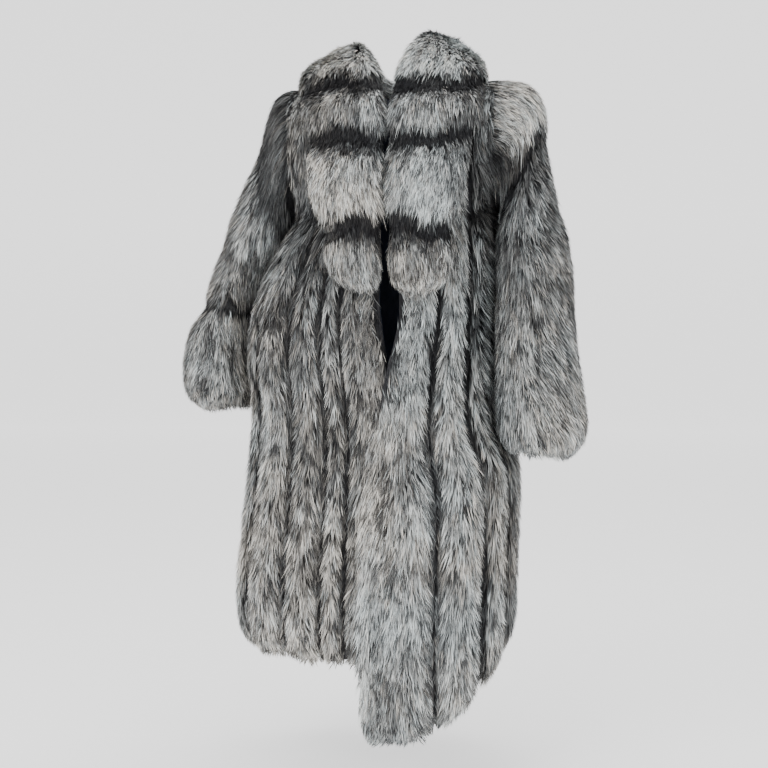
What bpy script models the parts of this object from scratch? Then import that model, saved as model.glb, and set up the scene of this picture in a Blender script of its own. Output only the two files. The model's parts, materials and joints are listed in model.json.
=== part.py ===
"""Full-length silver fox coat, hanging filled out. Metres, +Z up, the front faces -Y.

The origin is the point between the shoulders where the wearer holds the coat up.
The coat's right is at -X and its left at +X. Walls are as thick as the pelt with its fur.
"""

import math

import bmesh
import bpy
from mathutils import Vector

# ---------------------------------------------------------------- driving dimensions
PILE = 0.024          # leather plus lying fur, the wall of every fur piece
SEAM = 0.0003         # gap between neighbouring pieces
LINING = 0.0016       # lining cloth
LINING_CLEAR = 0.0010  # lining to wall
RIDGE = 0.006         # height of a pelt above the seams beside it
NECK_HALF = 0.085     # half width of the neck at the shoulder seam
NECK_Z = 0.036        # shoulder seam height at the neck
FULLNESS = 2.5        # superellipse exponent of the skirt's section
SPREAD = 3            # columns in a pelt
SLEEVE_SIDES = 16
ROLL_SIDES = 12
ROLL_SQUARE = 0.7     # how square a collar roll is in section, 1 for an ellipse

# Armhole of each side: underarm x, z; shoulder point x, z; half depth.
ARMHOLE = {
    "right": (0.200, -0.215, 0.205, 0.036, 0.090),
    "left": (0.195, -0.215, 0.205, 0.036, 0.090),
}
# Angle round the armhole, from the shoulder point to the underarm, of the upper rows.
ARM_TURNS = (0.0, 30.0, 55.0, 80.0, 115.0, 180.0)

# Upper rows of the fronts: edge x, edge y, edge z.
FRONT_UPPER = (
    (0.085, 0.000, 0.036),
    (0.078, -0.052, 0.016),
    (0.066, -0.095, -0.026),
    (0.055, -0.128, -0.080),
    (0.032, -0.152, -0.150),
    (0.018, -0.162, -0.225),
)
# Upper rows of the back at its middle: y, z.
BACK_UPPER = (
    (0.067, 0.012),
    (0.092, -0.003),
    (0.111, -0.040),
    (0.124, -0.093),
    (0.132, -0.150),
    (0.136, -0.215),
)
# Rows from the underarm down: share of the way to the hem, half width on the right,
# half width on the left, depth in front, depth behind, how far the left front laps out.
SKIRT = (
    (0.035, 0.205, 0.194, 0.165, 0.138, 0.000),
    (0.100, 0.234, 0.192, 0.169, 0.140, 0.000),
    (0.216, 0.276, 0.189, 0.175, 0.145, 0.008),
    (0.333, 0.289, 0.190, 0.181, 0.151, 0.034),
    (0.462, 0.280, 0.200, 0.187, 0.158, 0.041),
    (0.590, 0.287, 0.238, 0.193, 0.167, 0.041),
    (0.730, 0.299, 0.240, 0.200, 0.177, 0.040),
    (0.871, 0.310, 0.234, 0.207, 0.186, 0.040),
    (0.965, 0.304, 0.232, 0.209, 0.189, 0.038),
    (1.000, 0.286, 0.218, 0.196, 0.176, 0.036),
)
# Front edge x of the skirt rows, right front then left front.
EDGE_X = (
    (-0.012, 0.020),
    (-0.006, 0.026),
    (-0.006, 0.034),
    (0.008, 0.012),
    (0.022, -0.005),
    (0.028, -0.013),
    (0.030, -0.021),
    (0.030, -0.019),
    (0.030, -0.011),
    (0.024, -0.002),
)
# Hem height at the front edge, at the side seam and at the middle of the back.
HEM = {"right": (-1.070, -1.062), "left": (-1.198, -1.050), "back": -1.062}
# How fast the hem climbs from the front edge, or the back's middle, to the side.
HEM_BEND = {"right": 1.3, "left": 1.6, "back": 1.3}

# Where the pelts meet, in degrees round the section from the edge to the side seam.
RIGHT_PELTS = (0.0, 12.0, 20.0, 36.0, 62.0, 90.0)
LEFT_PELTS = (0.0, 25.0, 52.0, 72.0, 90.0)
BACK_PELTS = (0.0, 22.0, 45.0, 67.0, 90.0)

# Sleeve rings: inner x, inner z, outer x, outer z, middle y, half depth, wall.
SLEEVES = {
    "right": (
        (0.2000, -0.215, 0.205, 0.036, 0.000, 0.090, 0.024),
        (0.2070, -0.232, 0.228, 0.028, 0.000, 0.092, 0.024),
        (0.2150, -0.250, 0.250, 0.000, 0.003, 0.092, 0.024),
        (0.2260, -0.274, 0.270, -0.068, 0.006, 0.090, 0.023),
        (0.2420, -0.300, 0.304, -0.145, 0.010, 0.088, 0.021),
        (0.2600, -0.328, 0.340, -0.226, 0.012, 0.086, 0.020),
        (0.2800, -0.356, 0.366, -0.302, 0.014, 0.083, 0.019),
        (0.2970, -0.385, 0.388, -0.362, 0.014, 0.080, 0.019),
        (0.3040, -0.412, 0.400, -0.400, 0.014, 0.080, 0.019),
        (0.3080, -0.452, 0.425, -0.445, 0.012, 0.088, 0.021),
        (0.3070, -0.500, 0.438, -0.498, 0.010, 0.093, 0.022),
        (0.3010, -0.550, 0.438, -0.552, 0.008, 0.094, 0.022),
        (0.2950, -0.581, 0.424, -0.589, 0.006, 0.090, 0.020),
        (0.3050, -0.598, 0.398, -0.605, 0.006, 0.078, 0.012),
    ),
    "left": (
        (0.1950, -0.215, 0.205, 0.036, 0.000, 0.090, 0.024),
        (0.2030, -0.233, 0.247, 0.029, -0.005, 0.094, 0.024),
        (0.2070, -0.252, 0.284, 0.004, -0.015, 0.096, 0.024),
        (0.2060, -0.274, 0.300, -0.056, -0.028, 0.094, 0.024),
        (0.2040, -0.298, 0.305, -0.130, -0.045, 0.092, 0.023),
        (0.2040, -0.330, 0.321, -0.220, -0.062, 0.090, 0.022),
        (0.2050, -0.370, 0.342, -0.300, -0.075, 0.089, 0.022),
        (0.2070, -0.425, 0.352, -0.390, -0.085, 0.089, 0.022),
        (0.2080, -0.490, 0.357, -0.480, -0.091, 0.089, 0.022),
        (0.2070, -0.555, 0.366, -0.555, -0.096, 0.092, 0.023),
        (0.2100, -0.612, 0.375, -0.622, -0.100, 0.096, 0.024),
        (0.2150, -0.655, 0.370, -0.666, -0.102, 0.094, 0.022),
        (0.2300, -0.678, 0.348, -0.688, -0.102, 0.080, 0.013),
    ),
}

# Collar rings from the lower tip to the side of the neck: inner edge x, y, z; outer edge
# x, y, z; thickness. The narrow rows are where its pelts meet.
COLLAR_LEFT = (
    (0.044, -0.2006, -0.388, 0.104, -0.1936, -0.384, 0.022),
    (0.027, -0.2066, -0.368, 0.128, -0.1936, -0.362, 0.046),
    (0.018, -0.2096, -0.318, 0.139, -0.1936, -0.314, 0.056),
    (0.016, -0.2026, -0.268, 0.138, -0.1886, -0.265, 0.042),
    (0.013, -0.2076, -0.218, 0.153, -0.1876, -0.216, 0.060),
    (0.012, -0.2006, -0.160, 0.164, -0.1756, -0.158, 0.062),
    (0.012, -0.1846, -0.104, 0.173, -0.1516, -0.100, 0.044),
    (0.012, -0.1776, -0.056, 0.186, -0.1356, -0.050, 0.062),
    (0.014, -0.1496, -0.008, 0.190, -0.1036, -0.004, 0.048),
    (0.026, -0.1176, 0.050, 0.192, -0.0736, 0.036, 0.060),
    (0.046, -0.0716, 0.102, 0.186, -0.0396, 0.062, 0.058),
    (0.060, -0.0256, 0.122, 0.180, -0.0016, 0.074, 0.054),
    (0.070, 0.0164, 0.120, 0.176, 0.0284, 0.072, 0.046),
)
COLLAR_RIGHT = (
    (-0.006, -0.2012, -0.382, -0.062, -0.1952, -0.378, 0.022),
    (0.003, -0.2072, -0.362, -0.088, -0.1952, -0.356, 0.046),
    (0.008, -0.2102, -0.314, -0.102, -0.1952, -0.310, 0.056),
    (0.009, -0.2032, -0.268, -0.110, -0.1902, -0.265, 0.042),
    (0.011, -0.2082, -0.218, -0.126, -0.1892, -0.216, 0.060),
    (0.011, -0.2012, -0.160, -0.136, -0.1772, -0.158, 0.062),
    (0.011, -0.1852, -0.104, -0.143, -0.1542, -0.100, 0.044),
    (0.011, -0.1782, -0.056, -0.156, -0.1382, -0.050, 0.062),
    (0.006, -0.1502, -0.010, -0.168, -0.1082, -0.006, 0.048),
    (-0.012, -0.1182, 0.042, -0.178, -0.0762, 0.034, 0.060),
    (-0.040, -0.0722, 0.086, -0.180, -0.0402, 0.058, 0.058),
    (-0.060, -0.0262, 0.104, -0.178, -0.0022, 0.070, 0.054),
    (-0.070, 0.0164, 0.108, -0.176, 0.0284, 0.070, 0.046),
)
# Back of the collar, from the right side of the neck round to the left.
COLLAR_BACK = (
    (-0.070, 0.0168, 0.108, -0.176, 0.0288, 0.070, 0.046),
    (-0.066, 0.0424, 0.104, -0.160, 0.0844, 0.048, 0.056),
    (-0.052, 0.0644, 0.086, -0.126, 0.1344, 0.016, 0.058),
    (-0.028, 0.0764, 0.064, -0.072, 0.1664, -0.012, 0.054),
    (0.000, 0.0804, 0.056, 0.000, 0.1764, -0.022, 0.050),
    (0.028, 0.0764, 0.064, 0.072, 0.1664, -0.012, 0.054),
    (0.052, 0.0644, 0.088, 0.126, 0.1344, 0.018, 0.058),
    (0.066, 0.0424, 0.112, 0.160, 0.0844, 0.050, 0.056),
    (0.070, 0.0168, 0.120, 0.176, 0.0288, 0.072, 0.046),
)

# Name: colour, roughness.
FINISHES = {
    "front_fur": ((0.20, 0.20, 0.21), 0.75),
    "back_fur": ((0.17, 0.17, 0.18), 0.75),
    "sleeve_fur": ((0.19, 0.19, 0.20), 0.75),
    "collar_fur": ((0.30, 0.31, 0.32), 0.75),
    "satin": ((0.004, 0.007, 0.016), 0.40),
}


# ---------------------------------------------------------------- helpers
def clear_scene():
    """Remove every object the scene starts with."""
    for obj in list(bpy.data.objects):
        bpy.data.objects.remove(obj, do_unlink=True)


def finish(name, kind):
    """Give one object its own Principled material."""
    colour, roughness = FINISHES[kind]
    material = bpy.data.materials.new(name + "_finish")
    material.use_nodes = True
    shader = material.node_tree.nodes["Principled BSDF"]
    shader.inputs["Base Color"].default_value = (*colour, 1.0)
    shader.inputs["Roughness"].default_value = roughness
    shader.inputs["Metallic"].default_value = 0.0
    return material


def add_object(name, points, faces, kind):
    """Make one object from its points and faces, shaded smooth."""
    mesh = bpy.data.meshes.new(name)
    mesh.from_pydata([tuple(p) for p in points], [], faces)
    solid = bmesh.new()
    solid.from_mesh(mesh)
    bmesh.ops.recalc_face_normals(solid, faces=solid.faces)
    solid.to_mesh(mesh)
    solid.free()
    for face in mesh.polygons:
        face.use_smooth = True
    obj = bpy.data.objects.new(name, mesh)
    obj.data.materials.append(finish(name, kind))
    bpy.context.scene.collection.objects.link(obj)
    return obj


def grid_faces(base, rows, cols, closed):
    """Triangles over a grid of points, numbered from base row by row."""
    faces = []
    spans = cols if closed else cols - 1
    for r in range(rows - 1):
        for c in range(spans):
            d = (c + 1) % cols
            a = base + r * cols + c
            b = base + r * cols + d
            e = base + (r + 1) * cols + d
            f = base + (r + 1) * cols + c
            faces.extend([(a, b, e), (a, e, f)])
    return faces


def strip_faces(outer, inner, closed):
    """Triangles joining two equal lists of point numbers."""
    faces = []
    count = len(outer) if closed else len(outer) - 1
    for k in range(count):
        j = (k + 1) % len(outer)
        faces.extend([(outer[k], inner[k], inner[j]), (outer[k], inner[j], outer[j])])
    return faces


def wall(name, outer, inner, closed, kind):
    """Close the space between an outer and an inner grid of points into one solid."""
    rows = len(outer)
    cols = len(outer[0])
    size = rows * cols
    points = [p for row in outer for p in row] + [p for row in inner for p in row]
    faces = grid_faces(0, rows, cols, closed)
    faces += grid_faces(size, rows, cols, closed)
    top = list(range(cols))
    foot = [(rows - 1) * cols + c for c in range(cols)]
    faces += strip_faces(top, [size + k for k in top], closed)
    faces += strip_faces(foot, [size + k for k in foot], closed)
    if not closed:
        first = [r * cols for r in range(rows)]
        last = [r * cols + cols - 1 for r in range(rows)]
        faces += strip_faces(first, [size + k for k in first], False)
        faces += strip_faces(last, [size + k for k in last], False)
    return add_object(name, points, faces, kind)


# ---------------------------------------------------------------- body panels
def turns(pelts):
    """Angles of the columns of a front or half back, with each one's ridge share."""
    angles = [(math.radians(pelts[0]), 0.0)]
    for start, stop in zip(pelts, pelts[1:]):
        for k in range(1, SPREAD + 1):
            angle = start + (stop - start) * k / SPREAD
            angles.append((math.radians(angle), 0.0 if k == SPREAD else 1.0))
    return angles


def armhole_point(side, turn, inset, back):
    """A point on the armhole, set in by the wall where asked."""
    low_x, low_z, top_x, top_z, depth = ARMHOLE[side]
    middle = Vector(((low_x + top_x) / 2, 0.0, (low_z + top_z) / 2))
    reach = Vector((top_x - low_x, 0.0, top_z - low_z)) / 2
    reach *= 1.0 - inset / reach.length
    angle = math.radians(turn)
    point = middle + reach * math.cos(angle)
    point.y = (depth - inset) * math.sin(angle) * (1.0 if back else -1.0)
    point.x -= SEAM / 2
    return point


def section(edge, end, angle, fullness, bend):
    """A point of a row between its edge (or middle) and its armhole or side seam."""
    across = math.sin(angle) ** (2.0 / fullness)
    cosine = max(math.cos(angle), 0.0)
    x = edge.x + (end.x - edge.x) * across
    y = end.y + (edge.y - end.y) * cosine ** (2.0 / fullness)
    z = end.z + (edge.z - end.z) * cosine ** bend
    return Vector((x, y, z))


def seam_side(back):
    """Signed half of the seam gap, in front or behind."""
    return SEAM / 2 if back else -SEAM / 2


def row_ends(side, row, inset, back):
    """Edge (or middle) point and end point of one row, both for +X."""
    if row < len(ARM_TURNS):
        end = armhole_point(side, ARM_TURNS[row], inset, back)
        if row in (0, len(ARM_TURNS) - 1):
            end.y = seam_side(back)
        if back:
            depth, height = BACK_UPPER[row]
            edge = Vector((0.0, depth, height))
        else:
            edge = Vector(FRONT_UPPER[row])
            edge.y = min(edge.y, seam_side(back))
        lean = (1.0, 0.8, 0.35, 0.12, 0.0, 0.0)[row]
        sign = -1.0 if back else 1.0
        push = Vector((0.0, sign * (1.0 - lean), -lean)).normalized()
        if back and row == 0:
            push = Vector((0.0, 0.0, -1.0))
        return edge + push * inset, end
    share, right, left, front, behind, lap = SKIRT[row - len(ARM_TURNS)]
    half = right if side == "right" else left
    low_z = ARMHOLE[side][1]
    end = Vector((half - inset, seam_side(back), low_z + (HEM[side][1] - low_z) * share))
    if back:
        mid_z = BACK_UPPER[-1][1]
        edge = Vector((0.0, behind - inset, mid_z + (HEM["back"] - mid_z) * share))
        return edge, end
    edge_x = EDGE_X[row - len(ARM_TURNS)]
    mid_z = FRONT_UPPER[-1][2]
    depth = front + (lap if side == "left" else 0.0) - inset
    x = -edge_x[0] if side == "right" else edge_x[1]
    return Vector((x, -depth, mid_z + (HEM[side][0] - mid_z) * share)), end


def half_row(side, row, columns, inset, ridge, back):
    """Points of one row from its edge (or middle) to its end, both for +X."""
    edge, end = row_ends(side, row, inset, back)
    points = []
    for angle, share in columns:
        below = min(max(row - len(ARM_TURNS) + 1, 0) / 4.0, 1.0)
        fullness = 2.0 + (FULLNESS - 2.0) * below
        bend = 1.0 + (HEM_BEND["back" if back else side] - 1.0) * below
        point = section(edge, end, angle, fullness, bend)
        if row == 0:
            point = shoulder_point(point.x, end, inset, back)
        lift = ridge * share * min(1.0, max(0.0, (row - 1) / 4.0))
        sideways = 0.0 if row <= len(ARM_TURNS) else math.sin(angle)
        out = Vector((sideways, math.cos(angle) * (1.0 if back else -1.0), 0.0))
        points.append(point + out * lift)
    return points


def shoulder_point(x, end, inset, back):
    """A point of the shoulder seam or, inside the neck, of the back neckline."""
    tip_z = end.z + inset
    if x >= NECK_HALF:
        share = (x - NECK_HALF) / (end.x - NECK_HALF)
        height = NECK_Z + (tip_z - NECK_Z) * share
        return Vector((x, seam_side(back), height - inset))
    bow = math.sqrt(max(0.0, 1.0 - (x / NECK_HALF) ** 2))
    depth, middle_z = BACK_UPPER[0]
    return Vector((x, max(depth * bow, SEAM / 2), NECK_Z + (middle_z - NECK_Z) * bow - inset))


def front_rows(side, inset, ridge, rows):
    """Grid of one front, at its own side of the coat."""
    columns = turns(RIGHT_PELTS if side == "right" else LEFT_PELTS)
    sign = -1.0 if side == "right" else 1.0
    grid = []
    for row in range(rows):
        points = half_row(side, row, columns, inset, ridge, False)
        grid.append([Vector((sign * p.x, p.y, p.z)) for p in points])
    return grid


def back_rows(inset, ridge, rows):
    """Grid of the back from the right side seam to the left one."""
    columns = turns(BACK_PELTS)
    grid = []
    for row in range(rows):
        right = half_row("right", row, columns, inset, ridge, True)
        left = half_row("left", row, columns, inset, ridge, True)
        line = [Vector((-p.x, p.y, p.z)) for p in reversed(right[1:])]
        grid.append(line + left)
    return grid


def build_body():
    """The fronts, the back and their lining."""
    rows = len(ARM_TURNS) + len(SKIRT)
    near = PILE + LINING_CLEAR
    far = near + LINING
    for side in ("right", "left"):
        wall("front_" + side, front_rows(side, 0.0, RIDGE, rows),
             front_rows(side, PILE, 0.0, rows), False, "front_fur")
        wall("lining_front_" + side, front_rows(side, near, 0.0, rows - 1),
             front_rows(side, far, 0.0, rows - 1), False, "satin")
    wall("back", back_rows(0.0, RIDGE, rows), back_rows(PILE, 0.0, rows), False, "back_fur")
    wall("lining_back", back_rows(near, 0.0, rows - 1), back_rows(far, 0.0, rows - 1),
         False, "satin")


# ---------------------------------------------------------------- sleeves
def sleeve_ring(values, sign, inset):
    """Points round one ring of a sleeve, starting at its inner side."""
    low_x, low_z, top_x, top_z, middle_y, depth, _ = values
    middle = Vector(((low_x + top_x) / 2, middle_y, (low_z + top_z) / 2))
    reach = Vector((top_x - low_x, 0.0, top_z - low_z)) / 2
    reach *= 1.0 - inset / reach.length
    ring = []
    for k in range(SLEEVE_SIDES):
        angle = 2.0 * math.pi * k / SLEEVE_SIDES
        point = middle - reach * math.cos(angle)
        point.y -= (depth - inset) * math.sin(angle)
        ring.append(Vector((sign * point.x, point.y, point.z)))
    return ring


def build_sleeve(side):
    """One sleeve, open at the armhole and at the cuff."""
    sign = -1.0 if side == "right" else 1.0
    table = [list(values) for values in SLEEVES[side]]
    for column in (0, 2):
        table[0][column] += SEAM / 2
    outer = [sleeve_ring(values, sign, 0.0) for values in table]
    inner = [sleeve_ring(values, sign, values[-1]) for values in table]
    wall("sleeve_" + side, outer, inner, True, "sleeve_fur")


# ---------------------------------------------------------------- collar
def build_roll(name, table):
    """One full roll of the collar, its ends closed."""
    inner = [Vector(row[0:3]) for row in table]
    outer = [Vector(row[3:6]) for row in table]
    rings = []
    for k, row in enumerate(table):
        middle = (inner[k] + outer[k]) / 2
        before = max(k - 1, 0)
        after = min(k + 1, len(table) - 1)
        ahead = (inner[after] + outer[after]) / 2 - (inner[before] + outer[before]) / 2
        if inner[k].y > 0.0 and abs(inner[k].x) >= abs(table[-1][0]):
            ahead = Vector((0.0, math.copysign(1.0, ahead.y), 0.0))
        reach = (outer[k] - inner[k]) / 2
        normal = reach.cross(ahead).normalized() * row[6] / 2
        ring = []
        for j in range(ROLL_SIDES):
            angle = 2.0 * math.pi * j / ROLL_SIDES
            wide = math.copysign(abs(math.cos(angle)) ** ROLL_SQUARE, math.cos(angle))
            thick = math.copysign(abs(math.sin(angle)) ** ROLL_SQUARE, math.sin(angle))
            ring.append(middle + reach * wide + normal * thick)
        rings.append(ring)
    points = [p for ring in rings for p in ring]
    faces = grid_faces(0, len(rings), ROLL_SIDES, True)
    for ring in (0, len(rings) - 1):
        base = ring * ROLL_SIDES
        points.append(sum(rings[ring], Vector()) / ROLL_SIDES)
        for j in range(ROLL_SIDES):
            faces.append((len(points) - 1, base + (j + 1) % ROLL_SIDES, base + j))
    return add_object(name, points, faces, "collar_fur")


def build():
    """Every piece of the coat."""
    clear_scene()
    build_body()
    build_sleeve("right")
    build_sleeve("left")
    build_roll("collar_right", COLLAR_RIGHT)
    build_roll("collar_left", COLLAR_LEFT)
    build_roll("collar_back", COLLAR_BACK)


build()
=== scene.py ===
"""Full-length silver fox coat, hanging filled out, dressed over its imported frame.

Each piece of the coat is a pelt: a thin dark shell of leather and underfur on the form of
its solid, with the guard hair grown from it as tapered blades, and satin on its inner side.
The coat's front faces -Y, its right is at -X and its left at +X. All sizes are in metres.
"""

import json
import logging
import math
from dataclasses import dataclass, field
from enum import Enum
from typing import Any, Callable, Optional, Sequence, Union

import bpy
import numpy as np
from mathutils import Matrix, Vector

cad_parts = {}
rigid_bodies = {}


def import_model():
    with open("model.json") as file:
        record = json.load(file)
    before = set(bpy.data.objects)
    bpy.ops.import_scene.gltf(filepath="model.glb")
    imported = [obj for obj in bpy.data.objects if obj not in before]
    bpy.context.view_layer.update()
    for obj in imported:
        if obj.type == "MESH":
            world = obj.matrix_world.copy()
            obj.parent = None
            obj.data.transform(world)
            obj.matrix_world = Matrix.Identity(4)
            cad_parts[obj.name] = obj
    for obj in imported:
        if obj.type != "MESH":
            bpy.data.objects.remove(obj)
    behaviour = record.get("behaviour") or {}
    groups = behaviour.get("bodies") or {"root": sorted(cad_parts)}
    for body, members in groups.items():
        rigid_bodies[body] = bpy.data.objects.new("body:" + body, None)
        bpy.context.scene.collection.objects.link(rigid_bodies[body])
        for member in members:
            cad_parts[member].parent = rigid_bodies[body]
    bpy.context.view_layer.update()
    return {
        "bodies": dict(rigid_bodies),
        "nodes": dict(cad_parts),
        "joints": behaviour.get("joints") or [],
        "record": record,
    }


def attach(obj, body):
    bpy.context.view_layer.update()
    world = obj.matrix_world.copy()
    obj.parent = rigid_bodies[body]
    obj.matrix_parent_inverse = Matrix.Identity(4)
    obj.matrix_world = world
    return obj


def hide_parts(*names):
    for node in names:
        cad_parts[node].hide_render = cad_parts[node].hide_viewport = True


LOG = logging.getLogger("fur_coat")
HAIR_MAP = "OFBake"
Numbers = np.ndarray


class Side(Enum):
    """Which side of the coat a piece is on, as its wearer has it."""

    RIGHT = "right"
    LEFT = "left"

    @property
    def sign(self) -> float:
        """Direction of this side along X."""
        return -1.0 if self is Side.RIGHT else 1.0


class Tint(Enum):
    """The casts a lock of silver fox can have, by its third of the hair map."""

    COOL = 0
    NEUTRAL = 1
    WARM = 2


# --------------------------------------------------------------------------- shader maths
Operand = Union["Wire", float]


def math_step(operation: str, swapped: bool = False) -> Callable[["Wire", Operand], "Wire"]:
    """Make a method that does one step of arithmetic with a Math node.

    Args:
        operation: The Math node's operation.
        swapped: Whether the wire is the second value.

    Returns:
        The method.
    """
    def method(wire: "Wire", other: Operand) -> "Wire":
        """Do the step with another wire or a number."""
        pair = (other, wire) if swapped else (wire, other)
        return wire.shop.node("ShaderNodeMath", {"operation": operation}, dict(enumerate(pair)))

    return method


@dataclass(frozen=True)
class Wire:
    """One output socket, on which arithmetic makes Math nodes."""

    shop: "Shop"
    socket: bpy.types.NodeSocket

    __add__ = __radd__ = math_step("ADD")
    __sub__ = math_step("SUBTRACT")
    __rsub__ = math_step("SUBTRACT", swapped=True)
    __mul__ = __rmul__ = math_step("MULTIPLY")
    __pow__ = math_step("POWER")
    over = math_step("GREATER_THAN")

    def floor(self) -> "Wire":
        """Whole part."""
        return self.shop.node("ShaderNodeMath", {"operation": "FLOOR"}, {0: self})

    def ease(self, low: float, high: float) -> "Wire":
        """Smooth step.

        Args:
            low: Where the step starts.
            high: Where it ends.

        Returns:
            Zero below, one above, and smooth between.
        """
        sockets = {"Value": self, "From Min": low, "From Max": high}
        settings = {"interpolation_type": "SMOOTHSTEP"}
        return self.shop.node("ShaderNodeMapRange", settings, sockets)


class Shop:
    """The node tree of one material, and the one way nodes are put in it."""

    def __init__(self, name: str) -> None:
        """Start a material.

        Args:
            name: The material's name.
        """
        self.material = bpy.data.materials.new(name)
        self.material.use_nodes = True
        self.tree = self.material.node_tree
        self.tree.nodes.clear()

    def node(self, kind: str, settings: Optional[dict[str, Any]] = None,
             sockets: Optional[dict[Union[str, int], Any]] = None,
             output: Union[str, int] = 0) -> Wire:
        """Add one node.

        Args:
            kind: The node's type.
            settings: Its own settings, such as an operation.
            sockets: Values or links of its inputs, by name or number.
            output: The output wanted, by name or number.

        Returns:
            That output.
        """
        made = self.tree.nodes.new(kind)
        for key, value in (settings or {}).items():
            setattr(made, key, value)
        for key, value in (sockets or {}).items():
            if isinstance(value, Wire):
                self.tree.links.new(value.socket, made.inputs[key])
            else:
                made.inputs[key].default_value = value
        return Wire(self, made.outputs[output])

    def blend(self, share: Operand, first: Any, second: Any, mode: str = "MIX") -> Wire:
        """Mix two colours.

        Args:
            share: How much of the second.
            first: Colour or link.
            second: Colour or link.
            mode: The Mix node's blend type.

        Returns:
            The mixed colour.
        """
        settings = {"data_type": "RGBA", "blend_type": mode}
        parts = [c if isinstance(c, Wire) else (*c, 1.0) for c in (first, second)]
        return self.node("ShaderNodeMix", settings, {0: share, 6: parts[0], 7: parts[1]}, 2)

    def noise(self, scale: float, detail: float = 3.0, stretch: Sequence[float] = (1, 1, 1),
              distortion: float = 0.0) -> Wire:
        """Noise on the piece's own coordinates.

        Args:
            scale: Waves per metre.
            detail: Octaves.
            stretch: Scale of each axis.
            distortion: How far the waves are bent.

        Returns:
            The noise, from about 0 to 1.
        """
        place = self.node("ShaderNodeTexCoord", output="Object")
        turned = self.node("ShaderNodeMapping", None, {"Vector": place, "Scale": tuple(stretch)})
        sockets = {"Vector": turned, "Scale": scale, "Detail": detail, "Distortion": distortion}
        return self.node("ShaderNodeTexNoise", None, sockets)

    def surface(self, colour: Wire, roughness: Operand, relief: Optional[Wire] = None,
                depth: float = 0.0005, **constants: Any) -> bpy.types.Material:
        """Finish the material with a Principled shader.

        Args:
            colour: Its base colour.
            roughness: Its roughness.
            relief: Height of a bump, from 0 to 1.
            depth: The bump's depth in metres.
            constants: Other sockets of the shader, with _ for a space.

        Returns:
            The finished material.
        """
        sockets: dict[Union[str, int], Any] = {"Base Color": colour, "Roughness": roughness}
        if relief is not None:
            bump = {"Height": relief, "Distance": depth, "Strength": 1.0}
            sockets["Normal"] = self.node("ShaderNodeBump", None, bump)
        sockets.update({key.replace("_", " "): value for key, value in constants.items()})
        shader = self.node("ShaderNodeBsdfPrincipled", None, sockets)
        output = self.tree.nodes.new("ShaderNodeOutputMaterial")
        self.tree.links.new(shader.socket, output.inputs["Surface"])
        return self.material


# --------------------------------------------------------------------------- finishes
@dataclass(frozen=True)
class GuardHair:
    """Silver fox guard hair: dark root, silver band, dark tip, read from the hair map."""

    root: tuple[float, float, float] = (0.010, 0.010, 0.012)
    silver: tuple[float, float, float] = (0.84, 0.86, 0.84)
    cool: tuple[float, float, float] = (0.95, 1.00, 1.03)
    warm: tuple[float, float, float] = (1.05, 0.98, 0.92)
    roughness: float = 0.62

    def make(self) -> bpy.types.Material:
        """Make the material."""
        shop = Shop("guard_hair")
        chart = shop.node("ShaderNodeUVMap", {"uv_map": HAIR_MAP})
        across = shop.node("ShaderNodeSeparateXYZ", None, {0: chart}, 0)
        along = shop.node("ShaderNodeSeparateXYZ", None, {0: chart}, 1)
        third = (across * 3.0).floor()
        shade = across * 3.0 - third
        band = along.ease(0.34, 0.78) * (1.0 - 0.45 * along.ease(0.88, 1.0))
        value = shade * (0.10 + 0.90 * band)
        colour = shop.blend(value ** 1.35, self.root, self.silver)
        colour = shop.blend(1.0 - third.over(0.5), colour, self.cool, "MULTIPLY")
        tinted = shop.blend(third.over(1.5), colour, self.warm, "MULTIPLY")
        return shop.surface(tinted, self.roughness - 0.12 * value, Specular_IOR_Level=0.28)


@dataclass(frozen=True)
class Underfur:
    """The dense dark fur close to the leather."""

    deep: tuple[float, float, float] = (0.012, 0.012, 0.014)
    pale: tuple[float, float, float] = (0.060, 0.060, 0.064)

    def make(self) -> bpy.types.Material:
        """Make the material."""
        shop = Shop("underfur")
        fibres = shop.noise(420.0, 4.0, (1.0, 1.0, 0.25), 0.4)
        clouds = shop.noise(26.0, 2.0)
        colour = shop.blend((fibres * 0.7 + clouds * 0.5).ease(0.35, 0.85), self.deep, self.pale)
        return shop.surface(colour, 0.85 + 0.1 * fibres, fibres, 0.0020, Specular_IOR_Level=0.1)


@dataclass(frozen=True)
class Satin:
    """Navy lining satin with a fine twill, a soft gloss and painted sheen on its folds."""

    ground: tuple[float, float, float] = (0.0050, 0.0090, 0.0260)
    painted_sheen: tuple[float, float, float] = (0.0120, 0.0200, 0.0480)

    def make(self) -> bpy.types.Material:
        """Make the material."""
        shop = Shop("lining_satin")
        threads = shop.noise(900.0, 2.0, (1.0, 1.0, 0.08))
        folds = shop.noise(14.0, 2.0, (1.0, 1.0, 0.35), 0.8)
        # The paler navy where the folds turn is painted sheen.
        colour = shop.blend(folds.ease(0.35, 0.75), self.ground, self.painted_sheen)
        relief = threads * 0.25 + folds * 0.75
        return shop.surface(colour, 0.34 + 0.14 * threads, relief, 0.0030,
                            Sheen_Weight=0.05, Specular_IOR_Level=0.4)


@dataclass(frozen=True)
class StudioPaper:
    """Pale seamless paper of the floor and backdrop."""

    shade: float = 0.90
    glow: float = 0.60

    def make(self) -> bpy.types.Material:
        """Make the material."""
        shop = Shop("studio_paper")
        grain = shop.noise(60.0, 2.0)
        low = (self.shade - 0.01,) * 3
        high = (self.shade,) * 3
        return shop.surface(shop.blend(grain, low, high), 0.9,
                            Emission_Color=(1.0, 1.0, 1.0, 1.0), Emission_Strength=self.glow)


# --------------------------------------------------------------------------- the coat's form
SEAM = 0.0003
NECK_HALF = 0.085
NECK_Z = 0.036
FULLNESS = 2.5
BACK_BEND = 1.3
RIDGE = 0.006
SPREAD = 3
BACK_HEM = -1.062
SETTLE_ROWS = 4.0
ARM_TURNS = (0.0, 30.0, 55.0, 80.0, 115.0, 180.0)
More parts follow.
